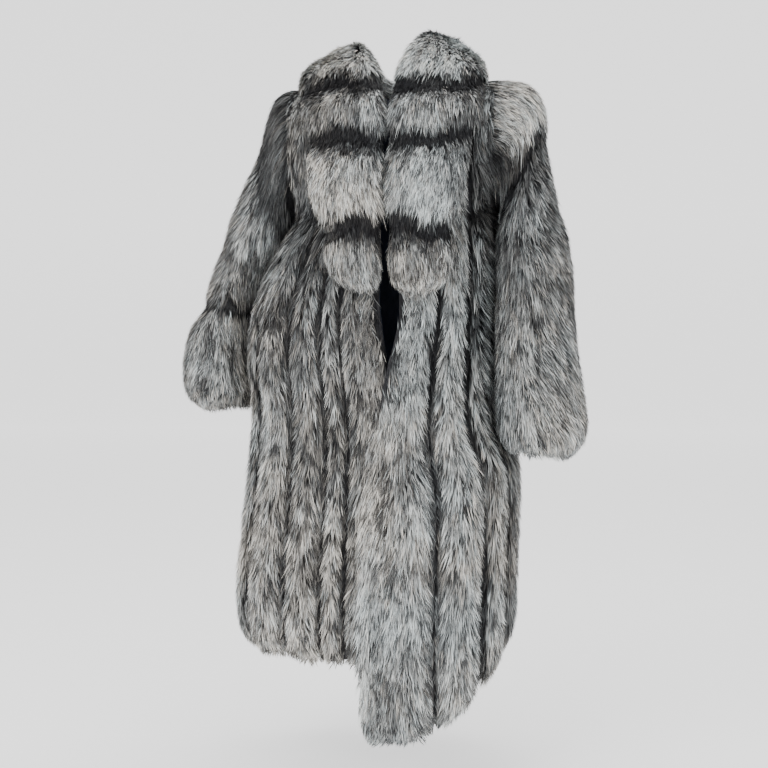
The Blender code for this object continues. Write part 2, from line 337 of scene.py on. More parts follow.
# How far each upper row's inset leans down from straight in.
UPPER_LEAN = (1.0, 0.8, 0.35, 0.12, 0.0, 0.0)
# Edge x, y, z of the fronts' upper rows.
FRONT_UPPER = (
    (0.085, 0.000, 0.036), (0.078, -0.052, 0.016), (0.066, -0.095, -0.026),
    (0.055, -0.128, -0.080), (0.032, -0.152, -0.150), (0.018, -0.162, -0.225),
)
# Middle y, z of the back's upper rows.
BACK_UPPER = (
    (0.067, 0.012), (0.092, -0.003), (0.111, -0.040),
    (0.124, -0.093), (0.132, -0.150), (0.136, -0.215),
)
# Share of the way to the hem, half width right, half width left, depth in front, depth
# behind, lap of the left front, edge x of the right front, edge x of the left front.
SKIRT = (
    (0.035, 0.205, 0.194, 0.165, 0.138, 0.000, -0.012, 0.020),
    (0.100, 0.234, 0.192, 0.169, 0.140, 0.000, -0.006, 0.026),
    (0.216, 0.276, 0.189, 0.175, 0.145, 0.008, -0.006, 0.034),
    (0.333, 0.289, 0.190, 0.181, 0.151, 0.034, 0.008, 0.012),
    (0.462, 0.280, 0.200, 0.187, 0.158, 0.041, 0.022, -0.005),
    (0.590, 0.287, 0.238, 0.193, 0.167, 0.041, 0.028, -0.013),
    (0.730, 0.299, 0.240, 0.200, 0.177, 0.040, 0.030, -0.021),
    (0.871, 0.310, 0.234, 0.207, 0.186, 0.040, 0.030, -0.019),
    (0.965, 0.304, 0.232, 0.209, 0.189, 0.038, 0.030, -0.011),
    (1.000, 0.286, 0.218, 0.196, 0.176, 0.036, 0.024, -0.002),
)


@dataclass(frozen=True)
class BodyForm:
    """The form of one side of the body, from shoulder to hem."""

    side: Side
    armhole: tuple[float, float, float, float, float]
    edge_hem: float
    side_hem: float
    bend: float
    pelts: tuple[float, ...]

    def armhole_point(self, turn: float, inset: float, back: bool) -> Vector:
        """A point on the armhole.

        Args:
            turn: Degrees round from the shoulder point.
            inset: How far in from the outer face.
            back: Whether it is on the back's half.

        Returns:
            The point, at +X.
        """
        low_x, low_z, top_x, top_z, depth = self.armhole
        middle = Vector(((low_x + top_x) / 2, 0.0, (low_z + top_z) / 2))
        reach = Vector((top_x - low_x, 0.0, top_z - low_z)) / 2
        reach *= 1.0 - inset / reach.length
        angle = math.radians(turn)
        point = middle + reach * math.cos(angle)
        point.y = (depth - inset) * math.sin(angle) * (1.0 if back else -1.0)
        point.x -= SEAM / 2
        return point

    def row_ends(self, row: int, inset: float, back: bool) -> tuple[Vector, Vector]:
        """Both ends of a row.

        Args:
            row: Number of the row from the shoulder.
            inset: How far in from the outer face.
            back: Whether it is a row of the back.

        Returns:
            The point at the front edge or the back's middle, and the one at the armhole or
            side seam, at +X.
        """
        facing = 1.0 if back else -1.0
        if row < len(ARM_TURNS):
            end = self.armhole_point(ARM_TURNS[row], inset, back)
            if row in (0, len(ARM_TURNS) - 1):
                end.y = facing * SEAM / 2
            edge = Vector((0.0, *BACK_UPPER[row])) if back else Vector(FRONT_UPPER[row])
            lean = UPPER_LEAN[row]
            push = Vector((0.0, -facing * (1.0 - lean), -lean)).normalized()
            return edge + push * inset, end
        share, right, left, front, behind, lap, right_x, left_x = SKIRT[row - len(ARM_TURNS)]
        half = right if self.side is Side.RIGHT else left
        low_z = self.armhole[1]
        height = low_z + (self.side_hem - low_z) * share
        end = Vector((half - inset, facing * SEAM / 2, height))
        if back:
            mid_z = BACK_UPPER[-1][1]
            return Vector((0.0, behind - inset, mid_z + (BACK_HEM - mid_z) * share)), end
        depth = front + (lap if self.side is Side.LEFT else 0.0) - inset
        mid_z = FRONT_UPPER[-1][2]
        across = -right_x if self.side is Side.RIGHT else left_x
        return Vector((across, -depth, mid_z + (self.edge_hem - mid_z) * share)), end

    def shoulder_point(self, x: float, end: Vector, inset: float, back: bool) -> Vector:
        """A point of the shoulder seam or the back neckline.

        Args:
            x: Its place across.
            end: The row's end at the armhole.
            inset: How far in from the outer face.
            back: Whether it is on the back.

        Returns:
            The point, at +X.
        """
        facing = 1.0 if back else -1.0
        if x >= NECK_HALF:
            share = (x - NECK_HALF) / (end.x - NECK_HALF)
            height = NECK_Z + (end.z + inset - NECK_Z) * share - inset
            return Vector((x, facing * SEAM / 2, height))
        bow = math.sqrt(max(0.0, 1.0 - (x / NECK_HALF) ** 2))
        depth, middle_z = BACK_UPPER[0]
        height = NECK_Z + (middle_z - NECK_Z) * bow - inset
        return Vector((x, max(depth * bow, SEAM / 2), height))

    def half_row(self, row: int, inset: float, ridge: float, back: bool) -> list[Vector]:
        """Points of one row, from its edge or middle to its end.

        Args:
            row: Number of the row from the shoulder.
            inset: How far in from the outer face.
            ridge: Height of the pelts over the seams beside them.
            back: Whether it is a row of the back.

        Returns:
            The points, at +X.
        """
        pelts = BACK_PELTS if back else self.pelts
        edge, end = self.row_ends(row, inset, back)
        below = min(max(row - len(ARM_TURNS) + 1, 0) / SETTLE_ROWS, 1.0)
        fullness = 2.0 + (FULLNESS - 2.0) * below
        bend = 1.0 + ((BACK_BEND if back else self.bend) - 1.0) * below
        points = []
        for angle, share in pelt_turns(pelts):
            across = math.sin(angle) ** (2.0 / fullness)
            cosine = max(math.cos(angle), 0.0)
            point = Vector((
                edge.x + (end.x - edge.x) * across,
                end.y + (edge.y - end.y) * cosine ** (2.0 / fullness),
                end.z + (edge.z - end.z) * cosine ** bend,
            ))
            if row == 0:
                point = self.shoulder_point(point.x, end, inset, back)
            lift = ridge * share * min(1.0, max(0.0, (row - 1) / SETTLE_ROWS))
            sideways = 0.0 if row <= len(ARM_TURNS) else math.sin(angle)
            out = Vector((sideways, math.cos(angle) * (1.0 if back else -1.0), 0.0))
            points.append(point + out * lift)
        return points


BACK_PELTS = (0.0, 22.0, 45.0, 67.0, 90.0)
ROWS = len(ARM_TURNS) + len(SKIRT)


def pelt_turns(pelts: Sequence[float]) -> list[tuple[float, float]]:
    """Angles of a section's columns.

    Args:
        pelts: Where the pelts meet, in degrees.

    Returns:
        Each column's angle in radians, and its share of the ridge.
    """
    angles = [(math.radians(pelts[0]), 0.0)]
    for start, stop in zip(pelts, pelts[1:]):
        for k in range(1, SPREAD + 1):
            turn = start + (stop - start) * k / SPREAD
            angles.append((math.radians(turn), 0.0 if k == SPREAD else 1.0))
    return angles


BODY_RIGHT = BodyForm(Side.RIGHT, (0.200, -0.215, 0.205, 0.036, 0.090), -1.070, -1.062, 1.3,
                      (0.0, 12.0, 20.0, 36.0, 62.0, 90.0))
BODY_LEFT = BodyForm(Side.LEFT, (0.195, -0.215, 0.205, 0.036, 0.090), -1.198, -1.050, 1.6,
                     (0.0, 25.0, 52.0, 72.0, 90.0))


# --------------------------------------------------------------------------- surfaces
# Steps a row when measuring along, scatter cells a span, and the least length divided by.
STEPS = 8
CELLS = 4
TINY = 1e-4


def spline_weights(share: Numbers) -> tuple[Numbers, Numbers]:
    """Weights of a smooth curve through four points.

    Args:
        share: Way along from the second point to the third.

    Returns:
        Weights of the points, and of their rate of change, each four rows.
    """
    f, f2, f3 = share, share ** 2, share ** 3
    weights = np.stack([-f + 2 * f2 - f3, 2 - 5 * f2 + 3 * f3, f + 4 * f2 - 3 * f3, f3 - f2])
    rates = np.stack([-1 + 4 * f - 3 * f2, 9 * f2 - 10 * f, 1 + 8 * f - 9 * f2, 3 * f2 - 2 * f])
    return weights / 2, rates / 2


@dataclass
class PeltSurface:
    """A smooth surface through rows of points, which run from its top down."""

    rows: Numbers
    closed: bool
    facing: float = 1.0

    def __post_init__(self) -> None:
        """Pad the rows, so that the curve runs through the first and last of them."""
        grid = self.rows
        grid = np.concatenate([2 * grid[:1] - grid[1:2], grid, 2 * grid[-1:] - grid[-2:-1]])
        if self.closed:
            grid = np.concatenate([grid[:, -1:], grid, grid[:, :2]], axis=1)
        else:
            first = 2 * grid[:, :1] - grid[:, 1:2]
            last = 2 * grid[:, -1:] - grid[:, -2:-1]
            grid = np.concatenate([first, grid, last], axis=1)
        self.grid = grid

    @property
    def spans(self) -> tuple[int, int]:
        """How many spans it has across and along."""
        down, wide = self.rows.shape[:2]
        return (wide if self.closed else wide - 1), down - 1

    def locate(self, across: Numbers, along: Numbers) -> tuple[Numbers, Numbers, Numbers]:
        """Points of the surface, carried on straight past its ends.

        Args:
            across: Places across, in columns.
            along: Places along, in rows.

        Returns:
            The points, and their rates of change across and along.
        """
        wide, down = self.spans
        if self.closed:
            held_a = np.mod(across, wide)
            over_a = np.zeros_like(across)
        else:
            held_a = np.clip(across, 0.0, wide)
            over_a = across - held_a
        held_l = np.clip(along, 0.0, down)
        over_l = along - held_l
        col = np.minimum(held_a.astype(int), wide - 1)
        row = np.minimum(held_l.astype(int), down - 1)
        w_a, r_a = spline_weights(held_a - col)
        w_l, r_l = spline_weights(held_l - row)
        point = np.zeros((len(across), 3))
        d_a = np.zeros_like(point)
        d_l = np.zeros_like(point)
        for i in range(4):
            for j in range(4):
                knot = self.grid[row + i, col + j]
                point += knot * (w_l[i] * w_a[j])[:, None]
                d_a += knot * (w_l[i] * r_a[j])[:, None]
                d_l += knot * (r_l[i] * w_a[j])[:, None]
        point += d_a * over_a[:, None] + d_l * over_l[:, None]
        return point, d_a, d_l

    def frame(self, across: Numbers, along: Numbers) -> tuple[Numbers, ...]:
        """Points with their outward normal.

        Args:
            across: Places across, in columns.
            along: Places along, in rows.

        Returns:
            Points, outward normals, and rates across and along.
        """
        point, d_a, d_l = self.locate(across, along)
        normal = unit(np.cross(d_a, d_l)) * self.facing
        return point, normal, d_a, d_l

    def advance(self, along: Numbers, distance: Numbers, rate: Numbers) -> Numbers:
        """Places a distance further along, over rows that are not evenly spaced.

        Args:
            along: Where to start, in rows.
            distance: How far to go, in metres.
            rate: Length of the rate of change along at the start.

        Returns:
            Places along, in rows.
        """
        wide, down = self.spans
        places = np.arange(-STEPS, (down + 2) * STEPS + 1) / STEPS
        _, _, d_l = self.locate(*lattice(np.arange(wide) + 0.5, places))
        mean = np.linalg.norm(d_l, axis=1).reshape(len(places), wide).mean(axis=1)
        gone = np.concatenate([[0.0], np.cumsum((mean[1:] + mean[:-1]) / 2 / STEPS)])
        scale = np.clip(np.interp(along, places, mean) / np.maximum(rate, TINY), 0.4, 2.5)
        return np.interp(np.interp(along, places, gone) + distance * scale, gone, places)

    def scatter(self, count: int, rng: np.random.Generator,
                weight: Callable[[Numbers, Numbers], Numbers]) -> tuple[Numbers, Numbers]:
        """Random places, spread evenly over the area.

        Args:
            count: How many.
            rng: The seeded source of chance.
            weight: Share of the density to be had at places across and along.

        Returns:
            Places across and along.
        """
        cols, rows = ((np.arange(n * CELLS) + 0.5) / CELLS for n in self.spans)
        across, along = lattice(cols, rows)
        _, d_a, d_l = self.locate(across, along)
        area = np.linalg.norm(np.cross(d_a, d_l), axis=1) * weight(across, along)
        cell = rng.choice(len(area), count, p=area / area.sum())
        jitter = (rng.random((2, count)) - 0.5) / CELLS
        return across[cell] + jitter[0], along[cell] + jitter[1]

    def mesh_grid(self, fine: int) -> Numbers:
        """Points of a finer grid on the surface.

        Args:
            fine: Steps in each span.

        Returns:
            Rows of points.
        """
        wide, down = self.spans
        cols = np.arange(wide * fine + (0 if self.closed else 1)) / fine
        rows = np.arange(down * fine + 1) / fine
        point, _, _ = self.locate(*lattice(cols, rows))
        return point.reshape(len(rows), len(cols), 3)


def lattice(cols: Numbers, rows: Numbers) -> tuple[Numbers, Numbers]:
    """Every pairing of columns and rows, as two flat lists."""
    across, along = np.meshgrid(cols, rows)
    return across.ravel(), along.ravel()


def sizes(vectors: Numbers) -> Numbers:
    """Lengths of vectors, never quite zero."""
    return np.maximum(np.linalg.norm(vectors, axis=1), TINY)


def bell(value: Numbers, middle: float, spread: float) -> Numbers:
    """Smooth hump that is 1 at its middle and falls away over its spread."""
    return np.exp(-(((value - middle) / spread) ** 2))


def full_light(points: Numbers) -> Numbers:
    """Shadow of fur that keeps all its light."""
    return np.ones(len(points))


def no_swell(points: Numbers) -> Numbers:
    """Swell of fur that is nowhere fuller."""
    return np.zeros(len(points))


def unit(vectors: Numbers) -> Numbers:
    """Vectors of length one."""
    return vectors / np.maximum(np.linalg.norm(vectors, axis=1, keepdims=True), 1e-12)


def ease(value: Numbers, low: float, high: float) -> Numbers:
    """Smooth step from 0 at low to 1 at high."""
    share = np.clip((value - low) / (high - low), 0.0, 1.0)
    return share * share * (3 - 2 * share)


def drift(points: Numbers, wave: float, seed: int) -> Numbers:
    """Smooth random values in space.

    Args:
        points: Where they are wanted.
        wave: Length of a wave in metres.
        seed: Which of many such fields.

    Returns:
        Values from about -1 to 1.
    """
    table = np.random.default_rng(seed).random(4096) * 2 - 1
    place = points / wave
    base = np.floor(place).astype(int)
    share = ease(place - base, 0.0, 1.0)
    total = np.zeros(len(points))
    for corner in range(8):
        step = np.array([corner & 1, corner >> 1 & 1, corner >> 2])
        key = (base + step) @ np.array([73856093, 19349663, 83492791])
        total += table[key % 4096] * np.prod(np.where(step, share, 1 - share), axis=1)
    return total * 1.5


def mottle(points: Numbers, seed: int) -> Numbers:
    """Light and dark streaks and clouds of the fur, longer down than across.

    Args:
        points: Where they are wanted.
        seed: Which of many such fields.

    Returns:
        Shares of the shade, about 1.
    """
    streaks = drift(points * np.array([1.0, 1.0, 0.22]), 0.0065, seed + 7)
    clouds = drift(points * np.array([1.0, 1.0, 0.5]), 0.045, seed + 8)
    return np.clip(1.0 + 0.44 * streaks + 0.15 * clouds, 0.12, 2.0)


# --------------------------------------------------------------------------- mesh making
def add_mesh(name: str, points: Numbers, faces: Numbers) -> bpy.types.Object:
    """Make one object from arrays.

    Args:
        name: The object's name.
        points: Its points.
        faces: Rows of point numbers, three or four to a face.

    Returns:
        The object, shaded smooth.
    """
    mesh = bpy.data.meshes.new(name)
    sides = faces.shape[1]
    mesh.vertices.add(len(points))
    mesh.vertices.foreach_set("co", points.astype(np.float32).ravel())
    mesh.loops.add(faces.size)
    mesh.loops.foreach_set("vertex_index", faces.astype(np.int32).ravel())
    mesh.polygons.add(len(faces))
    mesh.polygons.foreach_set("loop_start", np.arange(0, faces.size, sides, dtype=np.int32))
    mesh.polygons.foreach_set("use_smooth", np.ones(len(faces), dtype=bool))
    mesh.update(calc_edges=True)
    obj = bpy.data.objects.new(name, mesh)
    bpy.context.scene.collection.objects.link(obj)
    return obj


def shell_faces(rows: int, cols: int, closed: bool, flip: bool) -> Numbers:
    """Faces of the closed space between two equal grids of points.

    Args:
        rows: Rows of each grid.
        cols: Columns of each grid.
        closed: Whether the columns run all the way round.
        flip: Whether the faces are turned over.

    Returns:
        Rows of four point numbers; the outer grid's faces come first.
    """
    number = np.arange(rows * cols).reshape(rows, cols)
    if closed:
        number = np.concatenate([number, number[:, :1]], axis=1)
    size = rows * cols
    a, b = number[:-1, :-1], number[:-1, 1:]
    c, d = number[1:, 1:], number[1:, :-1]
    outer = np.stack([a, b, c, d], axis=-1).reshape(-1, 4)
    parts = [outer, outer[:, ::-1] + size]
    borders = [(number[0], False), (number[-1], True)]
    if not closed:
        borders += [(number[:, 0], True), (number[:, -1], False)]
    for line, turned in borders:
        p, q = line[:-1], line[1:]
        band = np.stack([q, p, p + size, q + size], axis=-1)
        parts.append(band[:, ::-1] if turned else band)
    faces = np.concatenate(parts)
    return faces[:, ::-1] if flip else faces


@dataclass(frozen=True)
class Hair:
    """How the guard hair of one piece grows."""

    count: int
    length: float = 0.050
    width: float = 0.0020
    depth: float = 0.016
    lift: float = 0.002
    belly: float = 0.58
    lock: int = 6
    lock_spread: float = 0.0045
    stray: float = 0.04
    hang: float = 0.6
    seed: int = 1


@dataclass
class Growth:
    """What the pelts say of the hair at many places.

    The tips stay between low_a and high_a across and above low_l along.
    """

    low_a: Numbers
    high_a: Numbers
    low_l: Numbers
    lean: Numbers
    shade: Numbers
    loft: Numbers
    reach: Numbers
    warmth: Numbers


class Pelting:
    """How the pelts of a piece are laid; its kinds say what the hair does in each place."""

    def density(self, surface: PeltSurface, across: Numbers, along: Numbers) -> Numbers:
        """Share of the full density at places on the surface.

        Args:
            surface: The piece's outer surface.
            across: Places across, in columns.
            along: Places along, in rows.

        Returns:
            The shares.
        """
        return np.ones_like(across)

    def read(self, surface: PeltSurface, across: Numbers, along: Numbers) -> Growth:
        """Growth at places on the surface.

        Args:
            surface: The piece's outer surface.
            across: Places across, in columns.
            along: Places along, in rows.

        Returns:
            The growth there.
        """
        raise NotImplementedError


@dataclass
class LengthwisePelts(Pelting):
    """Pelts that run from shoulder to hem, their hair combed down and out to the seams.

    The tones are their shades from the first column to the last, and the groove is how much
    darker the seams between them are.
    """

    tones: tuple[float, ...]
    comb: float = 30.0
    shadow: Callable[[Numbers], Numbers] = full_light
    warmth: float = 0.0
    seed: int = 11
    open_edge: bool = False
    groove: float = 0.84
    swell: Callable[[Numbers], Numbers] = no_swell

    def read(self, surface: PeltSurface, across: Numbers, along: Numbers) -> Growth:
        """Growth at places on the surface; see the base class."""
        points, _, _ = surface.locate(across, along)
        pelt = np.clip(across / SPREAD, 0.0, len(self.tones) - 1e-6)
        which = pelt.astype(int)
        off = (pelt - which) * 2 - 1
        tone = np.array(self.tones)[which]
        depth = 1.0 + 0.35 * drift(points, 0.130, self.seed + 4)
        seam = ease(np.abs(off), 0.52, 0.98) * np.clip(depth, 0.45, 1.2)
        low_a = SPREAD * (which + 0.03)
        high_a = SPREAD * (which + 0.97)
        last = (which == len(self.tones) - 1) & (off > 0.0)
        seam = np.where(last, seam * 0.5, seam)
        arm = 1.0 - ease(along, 4.0, 6.0)
        high_a = np.where(last, high_a + 0.3 + 1.2 * arm, high_a)
        comb = self.comb * off * (1.0 - 0.45 * seam) * (0.4 + 0.6 * ease(along, 6.0, 9.0))
        comb = comb + 9.0 * drift(points, 0.060, self.seed)
        comb = comb + np.where(last, 22.0 * arm, 0.0)
        if self.open_edge:
            first = (which == 0) & (off < 0.0)
            seam = np.where(first, 0.0, seam)
            opening = ease(along, 6.0, 7.0) * (1.0 - ease(along, 8.8, 9.8))
            low_a = np.where(which == 0, -0.35, low_a)
            comb = comb + 40.0 * opening * (1.0 - ease(across, 0.0, 1.6))
            comb = np.where(first, comb * (1.0 - 0.5 * (1.0 - opening)), comb)
        seam = seam * ease(along, 1.5, 5.0)
        shade = tone * (1.0 - self.groove * seam) * mottle(points, self.seed) * self.shadow(points)
        loft = 1.0 - seam + self.swell(points)
        reach = 1.0 - 0.25 * seam
        warmth = self.warmth + 0.5 * drift(points, 0.110, self.seed + 2)
        low_l = np.full(len(across), float(surface.spans[1]))
        return Growth(low_a, high_a, low_l, np.radians(comb), shade, loft, reach, warmth)


@dataclass
class CrosswisePelts(Pelting):
    """Pelts that run round a sleeve or across a collar, their hair combed down.

    A join has its row, its darkness and how many rows it reaches. The fan has the x of its
    middle, the distance over which it opens and its angle there in degrees.
    """

    joins: tuple[tuple[float, float, float], ...]
    tones: tuple[float, ...]
    slant: tuple[float, float] = (0.0, 0.0)
    comb: float = 8.0
    warmth: float = 0.0
    seed: int = 31
    thin_behind: float = 0.0
    fan: tuple[float, float, float] = (0.0, 1.0, 0.0)
    shadow: Callable[[Numbers], Numbers] = full_light

    def density(self, surface: PeltSurface, across: Numbers, along: Numbers) -> Numbers:
        """Share of the full density, less where a roll lies on the body; see the base class."""
        _, normal, _, _ = surface.frame(across, along)
        return 1.0 - self.thin_behind * ease(normal[:, 1], 0.0, 0.6)

    def read(self, surface: PeltSurface, across: Numbers, along: Numbers) -> Growth:
        """Growth at places on the surface; see the base class."""
        points, d_a, _ = surface.locate(across, along)
        wide, _ = surface.spans
        turn = across / wide * 2 * np.pi
        height = along + self.slant[0] * np.cos(turn) + self.slant[1] * np.sin(turn)
        height = height + 0.26 * drift(points, 0.045, self.seed + 5)
        tone = np.full(len(across), self.tones[0])
        dark = np.zeros(len(across))
        low_l = np.full(len(across), float(surface.spans[1]))
        for (place, strength, reach), after in reversed(list(zip(self.joins, self.tones[1:]))):
            gap = height - place
            band = np.where(gap > 0.0, 1.0 - ease(gap, -0.10 * reach, 1.35 * reach),
                            1.0 - ease(-gap, -0.10 * reach, 0.85 * reach))
            dark = np.maximum(dark, strength * band)
            tone = np.where((height > place) & (tone == self.tones[0]), after, tone)
            hold = place + 0.20 - height + along
            low_l = np.where((height < place) & (strength > 0.45), hold, low_l)
        swirl = drift(points, 0.070, self.seed)
        light = tone * (1.0 - dark) ** 1.7 * self.shadow(points)
        shade = light * mottle(points, self.seed)
        warmth = self.warmth + 0.5 * drift(points, 0.120, self.seed + 2)
        spread = (points[:, 0] - self.fan[0]) / self.fan[1] * self.fan[2] * np.sign(d_a[:, 0])
        lean = np.radians(self.comb * 1.4 * swirl + spread)
        free = np.full(len(across), 1e6)
        return Growth(-free, free, low_l, lean, shade, 1.0 - dark, 1.0 - 0.3 * dark, warmth)


@dataclass
class Coat:
    """What every piece shares: its finishes and the list of what has been made."""

    hair: bpy.types.Material
    underfur: bpy.types.Material
    satin: bpy.types.Material
    made: list[bpy.types.Object] = field(default_factory=list)

    def take(self, obj: bpy.types.Object, *finishes: bpy.types.Material) -> None:
        """Give a new piece its materials and fix it to the body.

        Args:
            obj: The piece.
            finishes: Its materials, in order.
        """
        for finish in finishes:
            obj.data.materials.append(finish)
        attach(obj, "root")
        self.made.append(obj)


def plumb_lean(d_a: Numbers, d_l: Numbers) -> Numbers:
    """Lean at which hair would hang straight down.

    Args:
        d_a: Rates of change across.
        d_l: Rates of change along.

    Returns:
        Angles in radians, held to a quarter turn at most.
    """
    across, along = unit(d_a), unit(d_l)
    meet = np.clip(np.sum(across * along, axis=1), -0.9, 0.9)
    right, down = -across[:, 2], -along[:, 2]
    turn = np.arctan2(right - meet * down, down - meet * right)
    return np.clip(turn, -0.8, 0.8)


# How blades and locks vary: lean in radians, heights and tips in metres, and turn on edge.
BLADE_LEAN, LOCK_LEAN = 0.08, 0.12
BLADE_RISE, LOCK_RISE, STRAY_RISE = 0.0009, 0.0020, 0.003
RAGGED_TIP, RAGGED_ROW = 0.003, 0.006
SEAM_SINK = 0.012
ON_EDGE = 0.45
# Share of its length at which a lock's shade is read.
SEEN = 0.7


def grow_hair(name: str, surface: PeltSurface, pelting: Pelting, hair: Hair,
              coat: Coat, extra: Optional[tuple[Numbers, ...]] = None) -> bpy.types.Object:
    """Grow one piece's guard hair.

    Args:
        name: The new piece's name.
        surface: The outer surface that the hair lies under.
        pelting: How its pelts are laid.
        hair: How its hair grows.
        coat: What every piece shares.
        extra: Places across and along and depths of more locks, such as at an edge.

    Returns:
        The piece, all its blades joined.
    """
    rng = np.random.default_rng(hair.seed)
    locks = max(hair.count // hair.lock, 1)
    lock_a, lock_l = surface.scatter(locks, rng, lambda a, l: pelting.density(surface, a, l))
    lock_depth = np.ones(locks)
    if extra is not None:
        lock_a = np.concatenate([lock_a, extra[0]])
        lock_l = np.concatenate([lock_l, extra[1]])
        lock_depth = np.concatenate([lock_depth, extra[2]])
        locks = len(lock_a)
    one = np.repeat(np.arange(locks), hair.lock)
    count = len(one)
    _, d_a, d_l = surface.locate(lock_a, lock_l)
    size_a, size_l = sizes(d_a)[one], sizes(d_l)[one]
    spot = rng.normal(0.0, 1.0, (2, count)) * hair.lock_spread
    root_a = lock_a[one] + spot[0] / size_a
    root_l = lock_l[one] + spot[1] / size_l

    growth = pelting.read(surface, lock_a, lock_l)
    growth.lean = growth.lean + hair.hang * plumb_lean(d_a, d_l)
    seen = SEEN * hair.length
    seen_a = lock_a + np.sin(growth.lean) * seen / sizes(d_a)
    seen_l = surface.advance(lock_l, np.cos(growth.lean) * seen, sizes(d_l))
    seen_a = np.clip(seen_a, growth.low_a + 0.02, growth.high_a - 0.02)
    seen_l = np.minimum(seen_l, np.maximum(growth.low_l - 0.02, lock_l))
    tip_growth = pelting.read(surface, seen_a, seen_l)
    lean = growth.lean[one] + rng.normal(0.0, BLADE_LEAN, count)
    lean += rng.normal(0.0, LOCK_LEAN, locks)[one]
    stray = rng.random(count) < hair.stray
    length = hair.length * tip_growth.reach[one] * rng.uniform(0.72, 1.18, count)
    length *= rng.uniform(0.85, 1.2, locks)[one]
    length = np.where(stray, length * 1.35, length)
    pull = rng.uniform(0.35, 0.75, locks)[one]
    side = np.sin(lean) * length - spot[0] * pull
    down = np.cos(lean) * length - spot[1] * pull * 0.5

    root, root_n, _, _ = surface.frame(root_a, root_l)
    low = growth.low_l[one] + rng.normal(0.0, RAGGED_ROW, count) / size_l
    ragged = np.abs(rng.normal(0.0, RAGGED_TIP, (2, count))) / size_a
    tip_a = np.clip(root_a + side / size_a, growth.low_a[one] + ragged[0],
                    growth.high_a[one] - ragged[1])
    tip_l = surface.advance(root_l, down, size_l)
    tip_l = np.minimum(tip_l, np.maximum(low, root_l + 0.012 / size_l))
    mid, mid_n, _, _ = surface.frame(root_a + hair.belly * (tip_a - root_a),
                                     root_l + hair.belly * (tip_l - root_l))
    tip, tip_n, _, _ = surface.frame(tip_a, tip_l)
    deep = hair.depth * lock_depth[one]
    loft = tip_growth.loft[one]
    rise = rng.normal(0.0, BLADE_RISE, count) + rng.normal(0.0, LOCK_RISE, locks)[one]
    top = hair.lift - SEAM_SINK * (1.0 - loft) + rise + np.where(stray, STRAY_RISE, 0.0)
    root = root - root_n * deep[:, None]
    mid = mid + mid_n * (-0.30 * deep + 0.6 * top)[:, None]
    tip = tip + tip_n * top[:, None]

    run = unit(tip - root)
    roll = rng.normal(0.0, ON_EDGE, count)
    flat = unit(np.cross(run, mid_n))
    blade = flat * np.cos(roll)[:, None] + mid_n * np.sin(roll)[:, None]
    width = hair.width * rng.uniform(0.7, 1.25, count) * np.where(stray, 0.6, 1.0)
    half = blade * (width / 2)[:, None]
    points = np.stack([root, mid - half, mid + half, tip], axis=1)
    base = np.arange(count)[:, None] * 4
    faces = np.concatenate([base + [0, 2, 1], base + [1, 2, 3]], axis=1).reshape(-1, 3)
    obj = add_mesh(name, points.reshape(-1, 3), faces)
    chart_hair(obj, tip_growth, one, stray, hair.belly, rng)
    coat.take(obj, coat.hair)
    LOG.info("%s: %d hairs, %d triangles", name, count, len(faces))
    return obj


# Shades of dark, middling and pale locks, and how many are dark, and dark or middling.
LOCK_SHADES = (0.28, 0.86, 1.42)
DARK_SHARE, DARKER_SHARE = 0.33, 0.68
# Cast past which a lock is tinted, and half the width of a blade's strip on the hair map.
CAST_STEP = 0.35
STRIP = 0.0012


def chart_hair(obj: bpy.types.Object, growth: Growth, one: Numbers, stray: Numbers,
               belly: float, rng: np.random.Generator) -> None:
    """Lay each blade on the hair map, at its shade and cast.

    Args:
        obj: The blades.
        growth: Growth of each lock.
        one: The lock of each blade.
        stray: Which blades stand clear of their lock.
        belly: Share of a blade's length at which it is widest.
        rng: The seeded source of chance.
    """
    locks = len(growth.shade)
    mood = rng.random(locks)
    dark, middling, pale = LOCK_SHADES
    contrast = np.select([mood < DARK_SHARE, mood < DARKER_SHARE], [dark, middling], pale)
    shade = (growth.shade * contrast)[one] * rng.uniform(0.75, 1.25, len(one))
    shade = np.clip(np.where(stray, shade * 1.25 + 0.06, shade), 0.015, 0.985)
    cast = growth.warmth + rng.normal(0.0, 0.35, locks)
    tints = [Tint.WARM.value, Tint.COOL.value]
    third = np.select([cast > CAST_STEP, cast < -CAST_STEP], tints, Tint.NEUTRAL.value)[one]
    across = (third + shade) / len(Tint)
    corner_u = np.array([0, 1, -1, -1, 1, 0]) * STRIP
    corner_v = np.array([0.02, belly, belly, belly, belly, 0.98])
    u = across[:, None] + corner_u[None, :]
    v = np.broadcast_to(corner_v[None, :], u.shape)
    chart = obj.data.uv_layers.new(name=HAIR_MAP)
    chart.data.foreach_set("uv", np.stack([u, v], axis=-1).astype(np.float32).ravel())


def add_shell(name: str, outer: PeltSurface, inner: PeltSurface, fine: int, coat: Coat,
              finishes: tuple[bpy.types.Material, bpy.types.Material]) -> bpy.types.Object:
    """Make the thin closed shell between two surfaces.

    Args:
        name: The new piece's name.
        outer: Its outer surface.
        inner: Its inner surface.
        fine: Steps in each span.
        coat: What every piece shares.
        finishes: Material of the outer face and edges, and of the inner face.

    Returns:
        The shell.
    """
    grid_out, grid_in = outer.mesh_grid(fine), inner.mesh_grid(fine)
    rows, cols = grid_out.shape[:2]
    points = np.concatenate([grid_out.reshape(-1, 3), grid_in.reshape(-1, 3)])
    faces = shell_faces(rows, cols, outer.closed, outer.facing < 0)
    obj = add_mesh(name, points, faces)
    coat.take(obj, *finishes)
    outer_count = (rows - 1) * (cols if outer.closed else cols - 1)
    which = np.zeros(len(faces), dtype=np.int32)
    which[outer_count:2 * outer_count] = 1
    obj.data.polygons.foreach_set("material_index", which)
    LOG.info("%s: %.3f square metres", name, sum(face.area for face in obj.data.polygons) / 2)
    return obj


